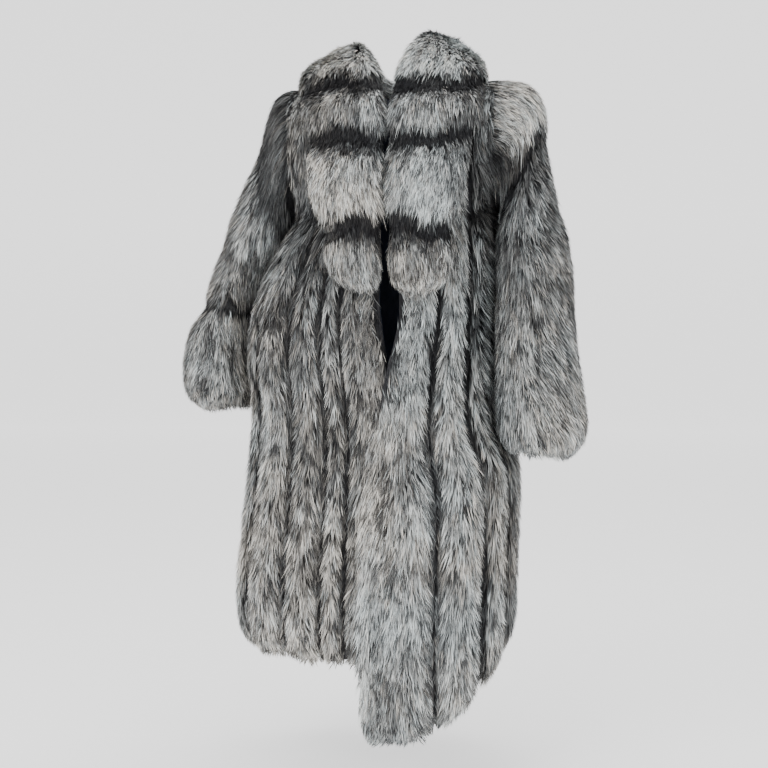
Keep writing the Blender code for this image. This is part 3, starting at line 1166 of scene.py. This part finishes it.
def face_out(surface: PeltSurface, centre: Numbers) -> PeltSurface:
    """Set which way a surface faces, away from the line of its centres.

    Args:
        surface: The surface.
        centre: The middle of each row of points.

    Returns:
        The same surface.
    """
    wide, down = surface.spans
    across, along = lattice(np.arange(wide) + 0.5, np.arange(down) + 0.5)
    point, normal, _, _ = surface.frame(across, along)
    away = point - centre[along.astype(int)]
    if np.mean(np.sum(away * normal, axis=1)) < 0.0:
        surface.facing = -surface.facing
    return surface


def grid_surface(rows: Sequence[Sequence[Vector]], closed: bool,
                 axis: Optional[Numbers] = None) -> PeltSurface:
    """Make a surface from rows of points.

    Args:
        rows: The rows, from the top down.
        closed: Whether the rows run all the way round.
        axis: Middle of each row, when not the mean of its points.

    Returns:
        The surface, facing out.
    """
    grid = np.array([[tuple(p) for p in row] for row in rows])
    middle = grid.mean(axis=1) if axis is None else axis
    return face_out(PeltSurface(grid, closed), middle)


# --------------------------------------------------------------------------- pieces
@dataclass
class BodyPanel:
    """A front or the back: pelt shell, guard hair and satin lining."""

    name: str
    pelting: LengthwisePelts
    hair: Hair
    flat: tuple[float, float]
    area: float
    edge_locks: int = 0

    def rows(self, inset: float, ridge: float) -> list[list[Vector]]:
        """Rows of points of the panel.

        Args:
            inset: How far in from the outer face.
            ridge: Height of the pelts over the seams.

        Returns:
            The rows, from the shoulder down.
        """
        raise NotImplementedError

    def surface(self, inset: float, ridge: float) -> PeltSurface:
        """Surface of the panel at a depth; see rows."""
        rows = self.rows(inset, ridge)
        height = [sum(p.z for p in row) / len(row) for row in rows]
        axis = np.array([(0.0, 0.02, z - 0.05) for z in height])
        return grid_surface(rows, False, axis)

    def edge(self, surface: PeltSurface, rng: np.random.Generator) -> Optional[tuple[Numbers, ...]]:
        """Places and depths of the locks on the open front edge.

        Args:
            surface: The panel's outer surface.
            rng: The seeded source of chance.

        Returns:
            Places across and along, and shares of the root depth.
        """
        if not self.edge_locks:
            return None
        _, down = surface.spans
        across = rng.uniform(-0.05, 0.25, self.edge_locks)
        along = rng.uniform(9.4, down, self.edge_locks)
        return across, along, rng.uniform(0.3, 1.25, self.edge_locks)

    def build(self, coat: Coat) -> None:
        """Make the panel's pieces.

        Args:
            coat: What every piece shares.
        """
        outer = self.surface(0.0, RIDGE)
        shell = add_shell("pelt_" + self.name, self.surface(0.0150, 0.004),
                          self.surface(0.0210, 0.0), 2, coat, (coat.underfur, coat.underfur))
        lining = add_shell("satin_" + self.name, self.surface(0.0242, 0.0),
                           self.surface(0.0256, 0.0), 2, coat, (coat.satin, coat.satin))
        rng = np.random.default_rng(self.hair.seed + 500)
        fur = grow_hair("fur_" + self.name, outer, self.pelting, self.hair, coat,
                        self.edge(outer, rng))
        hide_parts(self.name)
        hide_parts("lining_" + self.name)
        LOG.info("%s: shell, lining and hair", self.name)


@dataclass
class FrontPanel(BodyPanel):
    """One front of the coat."""

    form: BodyForm = BODY_RIGHT

    def rows(self, inset: float, ridge: float) -> list[list[Vector]]:
        """Rows of points of the front; see the base class."""
        sign = self.form.side.sign
        rows = [self.form.half_row(row, inset, ridge, False) for row in range(ROWS)]
        return [[Vector((sign * p.x, p.y, p.z)) for p in row] for row in rows]


@dataclass
class BackPanel(BodyPanel):
    """The back of the coat, from one side seam to the other."""

    def rows(self, inset: float, ridge: float) -> list[list[Vector]]:
        """Rows of points of the back; see the base class."""
        made = []
        for row in range(ROWS):
            right = BODY_RIGHT.half_row(row, inset, ridge, True)
            left = BODY_LEFT.half_row(row, inset, ridge, True)
            made.append([Vector((-p.x, p.y, p.z)) for p in reversed(right[1:])] + left)
        return made


@dataclass
class Sleeve:
    """One sleeve: pelt shell with satin inside, and its guard hair."""

    side: Side
    rings: tuple[tuple[float, ...], ...]
    pelting: CrosswisePelts
    hair: Hair
    flat: tuple[float, float]
    area: float
    sides: int = 16
    cap_locks: int = 900

    def surface(self, inset: float) -> PeltSurface:
        """Surface of the sleeve.

        Args:
            inset: Share of the wall's thickness that it lies in from the outer face.

        Returns:
            The surface.
        """
        made = []
        for low_x, low_z, top_x, top_z, middle_y, depth, wall in self.rings:
            middle = Vector(((low_x + top_x) / 2, middle_y, (low_z + top_z) / 2))
            reach = Vector((top_x - low_x, 0.0, top_z - low_z)) / 2
            reach *= 1.0 - inset * wall / reach.length
            ring = []
            for k in range(self.sides):
                angle = 2.0 * math.pi * k / self.sides
                point = middle - reach * math.cos(angle)
                point.y -= (depth - inset * wall) * math.sin(angle)
                ring.append(Vector((self.side.sign * point.x, point.y, point.z)))
            made.append(ring)
        return grid_surface(made, True)

    def build(self, coat: Coat) -> None:
        """Make the sleeve's pieces.

        Args:
            coat: What every piece shares.
        """
        name = "sleeve_" + self.side.value
        shell = add_shell("pelt_" + name, self.surface(0.66), self.surface(0.99), 2, coat,
                          (coat.underfur, coat.satin))
        rng = np.random.default_rng(self.hair.seed + 500)
        count = self.cap_locks
        cap = (rng.uniform(0.15, 0.85, count) * self.sides, rng.uniform(-1.1, 0.6, count),
               rng.uniform(0.3, 1.0, count))
        fur = grow_hair("fur_" + name, self.surface(0.0), self.pelting, self.hair, coat, cap)
        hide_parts(name)
        LOG.info("%s: shell and hair", name)


@dataclass
class CollarRoll:
    """One full roll of the collar: a soft core and its guard hair."""

    name: str
    rows: tuple[tuple[float, ...], ...]
    pelting: CrosswisePelts
    hair: Hair
    sides: int = 12
    square: float = 0.7
    core: float = 0.015

    def surface(self, inset: float) -> PeltSurface:
        """Surface of the roll.

        Args:
            inset: How far in from its outer face.

        Returns:
            The surface, its first row at the neck.
        """
        inner = [Vector(row[0:3]) for row in self.rows]
        outer = [Vector(row[3:6]) for row in self.rows]
        rings = []
        last = len(self.rows) - 1
        for k, row in enumerate(self.rows):
            middle = (inner[k] + outer[k]) / 2
            before, after = max(k - 1, 0), min(k + 1, last)
            ahead = (inner[after] + outer[after]) / 2 - (inner[before] + outer[before]) / 2
            if inner[k].y > 0.0 and abs(inner[k].x) >= 0.070:
                ahead = Vector((0.0, math.copysign(1.0, ahead.y), 0.0))
            reach = (outer[k] - inner[k]) / 2
            normal = reach.cross(ahead).normalized() * max(row[6] / 2 - inset, 0.004)
            reach *= max(1.0 - inset / reach.length, 0.2)
            ring = []
            for j in range(self.sides):
                angle = 2.0 * math.pi * j / self.sides
                wide = math.copysign(abs(math.cos(angle)) ** self.square, math.cos(angle))
                thick = math.copysign(abs(math.sin(angle)) ** self.square, math.sin(angle))
                ring.append(middle + reach * wide + normal * thick)
            rings.append(ring)
        return grid_surface(rings, True)

    def build(self, coat: Coat) -> None:
        """Make the roll's pieces.

        Args:
            coat: What every piece shares.
        """
        grid = self.surface(self.core).mesh_grid(2)
        rows, cols = grid.shape[:2]
        ends = np.stack([grid[0].mean(0), grid[-1].mean(0)])
        points = np.concatenate([grid.reshape(-1, 3), ends])
        number = np.arange(rows * cols).reshape(rows, cols)
        number = np.concatenate([number, number[:, :1]], axis=1)
        a, b, c, d = number[:-1, :-1], number[:-1, 1:], number[1:, 1:], number[1:, :-1]
        sides = np.concatenate([np.stack([a, b, c], -1).reshape(-1, 3),
                                np.stack([a, c, d], -1).reshape(-1, 3)])
        top = np.stack([number[0, 1:], number[0, :-1], np.full(cols, rows * cols)], -1)
        end = np.stack([number[-1, :-1], number[-1, 1:], np.full(cols, rows * cols + 1)], -1)
        faces = np.concatenate([sides, top, end])
        outer = self.surface(0.0)
        if outer.facing < 0:
            faces = faces[:, ::-1]
        core = add_mesh("core_" + self.name, points, faces)
        coat.take(core, coat.underfur)
        fur = grow_hair("fur_" + self.name, outer, self.pelting, self.hair, coat)
        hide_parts(self.name)
        LOG.info("%s: core and hair", self.name)


@dataclass
class CollarStand:
    """The band that joins the collar's rolls to the neckline, under them."""

    side: Side
    top: tuple[tuple[float, float, float], ...] = (
        (0.050, -0.112, 0.030), (0.066, -0.068, 0.082), (0.076, -0.025, 0.100),
        (0.084, 0.020, 0.100), (0.080, 0.048, 0.092), (0.062, 0.074, 0.070),
        (0.032, 0.090, 0.050), (0.000, 0.096, 0.044),
    )
    foot: tuple[tuple[float, float, float], ...] = (
        (0.064, -0.092, -0.040), (0.077, -0.052, 0.006), (0.086, -0.020, 0.022),
        (0.086, 0.018, 0.024), (0.068, 0.044, 0.010), (0.053, 0.056, 0.006),
        (0.028, 0.066, 0.002), (0.000, 0.070, 0.000),
    )
    thickness: float = 0.003

    def build(self, coat: Coat) -> None:
        """Make the band of one side.

        Args:
            coat: What every piece shares.
        """
        sign = self.side.sign
        top, foot = (np.array(line) * [sign, 1.0, 1.0] for line in (self.top, self.foot))
        rows = [top * (1 - share) + foot * share for share in (0.0, 0.33, 0.66, 1.0)]
        outer = PeltSurface(np.array(rows), False)
        middle = np.array([(0.0, -0.01, row[:, 2].mean()) for row in rows])
        face_out(outer, middle)
        wide, down = outer.spans
        _, normal, _, _ = outer.frame(*lattice(np.arange(wide + 1.0), np.arange(down + 1.0)))
        inner_rows = outer.rows - normal.reshape(outer.rows.shape) * self.thickness
        inner = PeltSurface(inner_rows, False, outer.facing)
        name = "collar_stand_" + self.side.value
        band = add_shell(name, outer, inner, 3, coat, (coat.underfur, coat.satin))


# --------------------------------------------------------------------------- studio
@dataclass
class Studio:
    """Pale paper, soft lights and the camera."""

    azimuth: float = 10.0
    distance: float = 2.30
    height: float = -0.558
    shift: float = -0.024
    lens: float = 53.9
    floor: float = -1.30
    air: float = 1.22

    def build(self) -> None:
        """Make the floor, lights and camera."""
        self.paper()
        self.lights()
        self.camera()
        LOG.info("studio: paper, lights and camera")

    def paper(self) -> None:
        """Make the seamless paper: a floor that curves up behind the coat."""
        bpy.ops.object.select_all(action="DESELECT")
        bpy.ops.mesh.primitive_plane_add(size=40.0, location=(0.0, 0.0, self.floor))
        floor = bpy.context.object
        floor.name = "studio_paper"
        bpy.ops.object.mode_set(mode="EDIT")
        bpy.ops.mesh.select_all(action="DESELECT")
        bpy.ops.object.mode_set(mode="OBJECT")
        for edge in floor.data.edges:
            ends = [floor.data.vertices[n].co.y for n in edge.vertices]
            edge.select = min(ends) > 5.0
        bpy.ops.object.mode_set(mode="EDIT")
        bpy.ops.mesh.select_mode(type="EDGE")
        bpy.ops.mesh.extrude_region_move(TRANSFORM_OT_translate={"value": (0.0, 0.0, 16.0)})
        bpy.ops.mesh.select_all(action="DESELECT")
        bpy.ops.object.mode_set(mode="OBJECT")
        bevel = floor.modifiers.new("Curve", "BEVEL")
        bevel.width = 4.0
        bevel.segments = 12
        bevel.limit_method = "ANGLE"
        bpy.ops.object.modifier_apply(modifier=bevel.name)
        bpy.ops.object.shade_smooth()
        bpy.ops.object.transform_apply(location=True, rotation=True, scale=True)
        floor.data.materials.append(StudioPaper().make())

    def lights(self) -> None:
        """Place the soft lights."""
        world = bpy.data.worlds.new("studio_air")
        bpy.context.scene.world = world
        world.use_nodes = True
        air = world.node_tree.nodes["Background"].inputs
        air["Color"].default_value = (1, 1, 1, 1)
        air["Strength"].default_value = self.air
        for name, place, size, power in (
            ("key_light", (-1.6, -2.6, 1.7), 1.8, 55.0),
            ("fill_light", (2.2, -2.4, 0.4), 2.2, 22.0),
            ("top_light", (0.2, 0.6, 2.3), 1.6, 30.0),
        ):
            lamp = bpy.data.lights.new(name, "AREA")
            lamp.size = size
            lamp.energy = power
            obj = bpy.data.objects.new(name, lamp)
            obj.location = place
            aim = Vector((0.0, 0.0, -0.5)) - Vector(place)
            obj.rotation_euler = aim.to_track_quat("-Z", "Y").to_euler()
            bpy.context.scene.collection.objects.link(obj)

    def camera(self) -> None:
        """Place the camera, level and a little to the coat's left."""
        data = bpy.data.cameras.new("camera")
        data.lens = self.lens
        data.sensor_width = 36.0
        camera = bpy.data.objects.new("camera", data)
        turn = math.radians(self.azimuth)
        right = Vector((math.cos(turn), math.sin(turn), 0.0))
        ahead = Vector((-math.sin(turn), math.cos(turn), 0.0))
        place = right * self.shift - ahead * self.distance
        camera.location = (place.x, place.y, self.height)
        camera.rotation_euler = (math.radians(90.0), 0.0, turn)
        bpy.context.scene.collection.objects.link(camera)
        bpy.context.scene.camera = camera


# --------------------------------------------------------------------------- this coat
# Armpit side x, z; shoulder side x, z; middle y; half depth; wall; from armhole to cuff.
SLEEVE_RIGHT = (
    (0.2000, -0.215, 0.205, 0.036, 0.000, 0.090, 0.024),
    (0.2070, -0.232, 0.228, 0.028, 0.000, 0.092, 0.024),
    (0.2150, -0.250, 0.250, 0.000, 0.003, 0.092, 0.024),
    (0.2260, -0.274, 0.270, -0.068, 0.006, 0.090, 0.023),
    (0.2420, -0.300, 0.304, -0.145, 0.010, 0.088, 0.021),
    (0.2600, -0.328, 0.340, -0.226, 0.012, 0.086, 0.020),
    (0.2800, -0.356, 0.366, -0.302, 0.014, 0.083, 0.019),
    (0.2970, -0.385, 0.388, -0.362, 0.014, 0.080, 0.019),
    (0.3040, -0.412, 0.400, -0.400, 0.014, 0.080, 0.019),
    (0.3080, -0.452, 0.425, -0.445, 0.012, 0.088, 0.021),
    (0.3070, -0.500, 0.438, -0.498, 0.010, 0.093, 0.022),
    (0.3010, -0.550, 0.438, -0.552, 0.008, 0.094, 0.022),
    (0.2950, -0.581, 0.424, -0.589, 0.006, 0.090, 0.020),
    (0.3050, -0.598, 0.398, -0.605, 0.006, 0.078, 0.012),
)
SLEEVE_LEFT = (
    (0.1950, -0.215, 0.205, 0.036, 0.000, 0.090, 0.024),
    (0.2030, -0.233, 0.247, 0.029, -0.005, 0.094, 0.024),
    (0.2070, -0.252, 0.284, 0.004, -0.015, 0.096, 0.024),
    (0.2060, -0.274, 0.300, -0.056, -0.028, 0.094, 0.024),
    (0.2040, -0.298, 0.305, -0.130, -0.045, 0.092, 0.023),
    (0.2040, -0.330, 0.321, -0.220, -0.062, 0.090, 0.022),
    (0.2050, -0.370, 0.342, -0.300, -0.075, 0.089, 0.022),
    (0.2070, -0.425, 0.352, -0.390, -0.085, 0.089, 0.022),
    (0.2080, -0.490, 0.357, -0.480, -0.091, 0.089, 0.022),
    (0.2070, -0.555, 0.366, -0.555, -0.096, 0.092, 0.023),
    (0.2100, -0.612, 0.375, -0.622, -0.100, 0.096, 0.024),
    (0.2150, -0.655, 0.370, -0.666, -0.102, 0.094, 0.022),
    (0.2300, -0.678, 0.348, -0.688, -0.102, 0.080, 0.013),
)
# Inner edge x, y, z; outer edge x, y, z; thickness; from the lower tip to the neck.
COLLAR_LEFT = (
    (0.044, -0.2006, -0.388, 0.104, -0.1936, -0.384, 0.022),
    (0.027, -0.2066, -0.368, 0.128, -0.1936, -0.362, 0.046),
    (0.018, -0.2096, -0.318, 0.139, -0.1936, -0.314, 0.056),
    (0.016, -0.2026, -0.268, 0.138, -0.1886, -0.265, 0.042),
    (0.013, -0.2076, -0.218, 0.153, -0.1876, -0.216, 0.060),
    (0.012, -0.2006, -0.160, 0.164, -0.1756, -0.158, 0.062),
    (0.012, -0.1846, -0.104, 0.173, -0.1516, -0.100, 0.044),
    (0.012, -0.1776, -0.056, 0.186, -0.1356, -0.050, 0.062),
    (0.014, -0.1496, -0.008, 0.190, -0.1036, -0.004, 0.048),
    (0.026, -0.1176, 0.050, 0.188, -0.0736, 0.026, 0.060),
    (0.046, -0.0716, 0.102, 0.176, -0.0396, 0.044, 0.058),
    (0.060, -0.0256, 0.122, 0.166, -0.0016, 0.054, 0.054),
    (0.070, 0.0164, 0.120, 0.164, 0.0284, 0.056, 0.062),
)
COLLAR_RIGHT = (
    (-0.006, -0.2012, -0.382, -0.062, -0.1952, -0.378, 0.022),
    (0.003, -0.2072, -0.362, -0.088, -0.1952, -0.356, 0.046),
    (0.008, -0.2102, -0.314, -0.102, -0.1952, -0.310, 0.056),
    (0.009, -0.2032, -0.268, -0.110, -0.1902, -0.265, 0.042),
    (0.011, -0.2082, -0.218, -0.126, -0.1892, -0.216, 0.060),
    (0.011, -0.2012, -0.160, -0.136, -0.1772, -0.158, 0.062),
    (0.011, -0.1852, -0.104, -0.143, -0.1542, -0.100, 0.044),
    (0.011, -0.1782, -0.056, -0.156, -0.1382, -0.050, 0.062),
    (0.006, -0.1502, -0.010, -0.168, -0.1082, -0.006, 0.048),
    (-0.012, -0.1182, 0.042, -0.176, -0.0762, 0.026, 0.060),
    (-0.040, -0.0722, 0.086, -0.172, -0.0402, 0.044, 0.058),
    (-0.060, -0.0262, 0.104, -0.166, -0.0022, 0.054, 0.054),
    (-0.070, 0.0164, 0.108, -0.164, 0.0284, 0.056, 0.062),
)
COLLAR_BACK = (
    (-0.070, 0.0108, 0.108, -0.168, 0.0228, 0.054, 0.062),
    (-0.066, 0.0424, 0.104, -0.160, 0.0844, 0.048, 0.056),
    (-0.052, 0.0644, 0.086, -0.126, 0.1344, 0.016, 0.058),
    (-0.028, 0.0764, 0.064, -0.072, 0.1664, -0.012, 0.054),
    (0.000, 0.0804, 0.056, 0.000, 0.1764, -0.022, 0.050),
    (0.028, 0.0764, 0.064, 0.072, 0.1664, -0.012, 0.054),
    (0.052, 0.0644, 0.088, 0.126, 0.1344, 0.018, 0.058),
    (0.066, 0.0424, 0.112, 0.160, 0.0844, 0.050, 0.056),
    (0.070, 0.0108, 0.120, 0.168, 0.0228, 0.054, 0.062),
)


def painted_shade_beside_collar(points: Numbers) -> Numbers:
    """Painted shade on the fronts under and beside the collar, with tone bands lower down.

    Args:
        points: Places on a front.

    Returns:
        Shares of the light that they keep.
    """
    x, z = points[:, 0], points[:, 2]
    # Painted shade under and beside the collar.
    right = bell(x, -0.150, 0.060) * bell(z, -0.250, 0.220)
    left = bell(x, 0.175, 0.060) * bell(z, -0.180, 0.160)
    # A lighter band over a darker one at the right front's hip.
    hip = bell(x, -0.215, 0.055)
    swing = 0.40 * bell(z, -0.385, 0.060) - 0.30 * bell(z, -0.505, 0.065)
    # Lower fronts lighter at the right and darker at the left.
    low = 1.0 + (0.24 - 0.37 * ease(x, -0.02, 0.02)) * ease(-z, 0.6, 0.9)
    return (1.0 - 0.68 * np.clip(right + left, 0.0, 1.0)) * low * (1.0 + hip * swing)


def under_arm(points: Numbers) -> Numbers:
    """Fuller fur where the body meets the left sleeve.

    Args:
        points: Places on a front or the back.

    Returns:
        Extra loft.
    """
    x, z = points[:, 0], points[:, 2]
    return 1.6 * ease(x, 0.15, 0.185) * ease(z, -0.62, -0.50) * (1.0 - ease(z, -0.18, -0.11))


def painted_shade_at_armhole(points: Numbers) -> Numbers:
    """Painted shade on the left sleeve's cap where it folds in to the armhole.

    Args:
        points: Places on the sleeve.

    Returns:
        Shares of the light that they keep.
    """
    x, z = points[:, 0], points[:, 2]
    # Painted shade where the cap folds in, and at its inner top.
    fold_shade = bell(x, 0.218, 0.050) * bell(z, -0.150, 0.085)
    cap = bell(x, 0.195, 0.045) * bell(z, 0.005, 0.060)
    return 1.0 - 0.90 * fold_shade - 0.60 * cap * (1.0 - fold_shade)


def collar_tone_and_painted_shade(points: Numbers) -> Numbers:
    """Darker top of the left roll, painted shade at the rolls' outer sides, and darker toward the
    back.

    Args:
        points: Places on a roll.

    Returns:
        Shares of the light that they keep.
    """
    x, y, z = points[:, 0], points[:, 1], points[:, 2]
    crown = ease(z, 0.105, 0.130) * ease(x, 0.02, 0.04)
    # Painted shade at the rolls' outer sides.
    outer = ease(np.abs(x), 0.105, 0.165)
    behind = ease(y, -0.13, -0.04) * ease(-np.abs(x), -0.12, -0.07)
    return (1.0 - 0.75 * crown) * (1.0 - 0.5 * outer) * (1.0 - 0.2 * behind)


def panels() -> list[BodyPanel]:
    """The body's panels, with their hair."""
    right = LengthwisePelts((0.50, 0.52, 0.54, 0.57, 0.52), shadow=painted_shade_beside_collar, warmth=0.35,
                            open_edge=True, groove=0.62)
    left = LengthwisePelts((0.66, 0.82, 0.70, 0.46), shadow=painted_shade_beside_collar, seed=17,
                           open_edge=True, swell=under_arm)
    back = LengthwisePelts((0.52, 0.58, 0.60, 0.62, 0.62, 0.60, 0.58, 0.52), seed=23,
                           swell=under_arm)
    return [
        FrontPanel("front_right", right, Hair(70000, seed=101), (0.44, 1.18), 0.40, 200,
                   BODY_RIGHT),
        FrontPanel("front_left", left, Hair(70000, seed=102), (0.42, 1.30), 0.36, 300, BODY_LEFT),
        BackPanel("back", back, Hair(95000, seed=103), (0.72, 1.18), 0.70),
    ]


def sleeves() -> list[Sleeve]:
    """Both sleeves."""
    right = CrosswisePelts(((3.2, 0.28, 0.70), (5.4, 0.30, 0.70), (7.8, 0.76, 0.90)),
                           (0.16, 0.44, 0.50, 0.52), warmth=0.3, seed=31,
                           fan=(-0.28, 0.10, 12.0))
    left = CrosswisePelts(((2.7, 0.70, 0.90), (6.6, 0.24, 1.00)),
                          (1.22, 0.40, 0.54), slant=(0.55, 0.0), seed=37, shadow=painted_shade_at_armhole,
                          fan=(0.20, 0.12, 22.0))
    hair_right, hair_left = Hair(52000, hang=0.3, seed=104), Hair(56000, hang=0.3, seed=105)
    return [
        Sleeve(Side.RIGHT, SLEEVE_RIGHT, right, hair_right, (0.61, 0.69), 0.22),
        Sleeve(Side.LEFT, SLEEVE_LEFT, left, hair_left, (0.63, 0.78), 0.28),
    ]


def rolls() -> list[CollarRoll]:
    """The three rolls of the collar."""
    joins = ((3.9, 0.94, 0.75), (6.1, 0.96, 0.88), (9.1, 0.96, 0.95))
    right = CrosswisePelts(joins, (1.05, 0.64, 1.06, 0.55), thin_behind=0.6, seed=41,
                           shadow=collar_tone_and_painted_shade, fan=(-0.050, 0.07, 16.0))
    left = CrosswisePelts(joins, (1.25, 0.72, 0.78, 0.66), thin_behind=0.6, seed=43,
                          shadow=collar_tone_and_painted_shade, fan=(0.075, 0.08, 16.0))
    back = CrosswisePelts(((4.0, 0.3, 0.5),), (0.66, 0.66), seed=47)
    laid = (("collar_right", COLLAR_RIGHT[::-1], right, 42000),
            ("collar_left", COLLAR_LEFT[::-1], left, 42000),
            ("collar_back", COLLAR_BACK, back, 30000))
    return [CollarRoll(name, rows, pelts, Hair(count, 0.042, hang=0.2, seed=106 + k))
            for k, (name, rows, pelts, count) in enumerate(laid)]


def main() -> None:
    """Load the frame, build the coat and its studio, and note its size."""
    logging.basicConfig(level=logging.INFO, format="%(name)s: %(message)s")
    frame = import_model()
    LOG.info("frame has %d entries", len(frame))
    coat = Coat(GuardHair().make(), Underfur().make(), Satin().make())
    stands = [CollarStand(Side.RIGHT), CollarStand(Side.LEFT)]
    for piece in [*panels(), *sleeves(), *rolls(), *stands]:
        piece.build(coat)
    Studio().build()
    LOG.info("coat: %d pieces", len(coat.made))


if __name__ == "__main__":
    main()
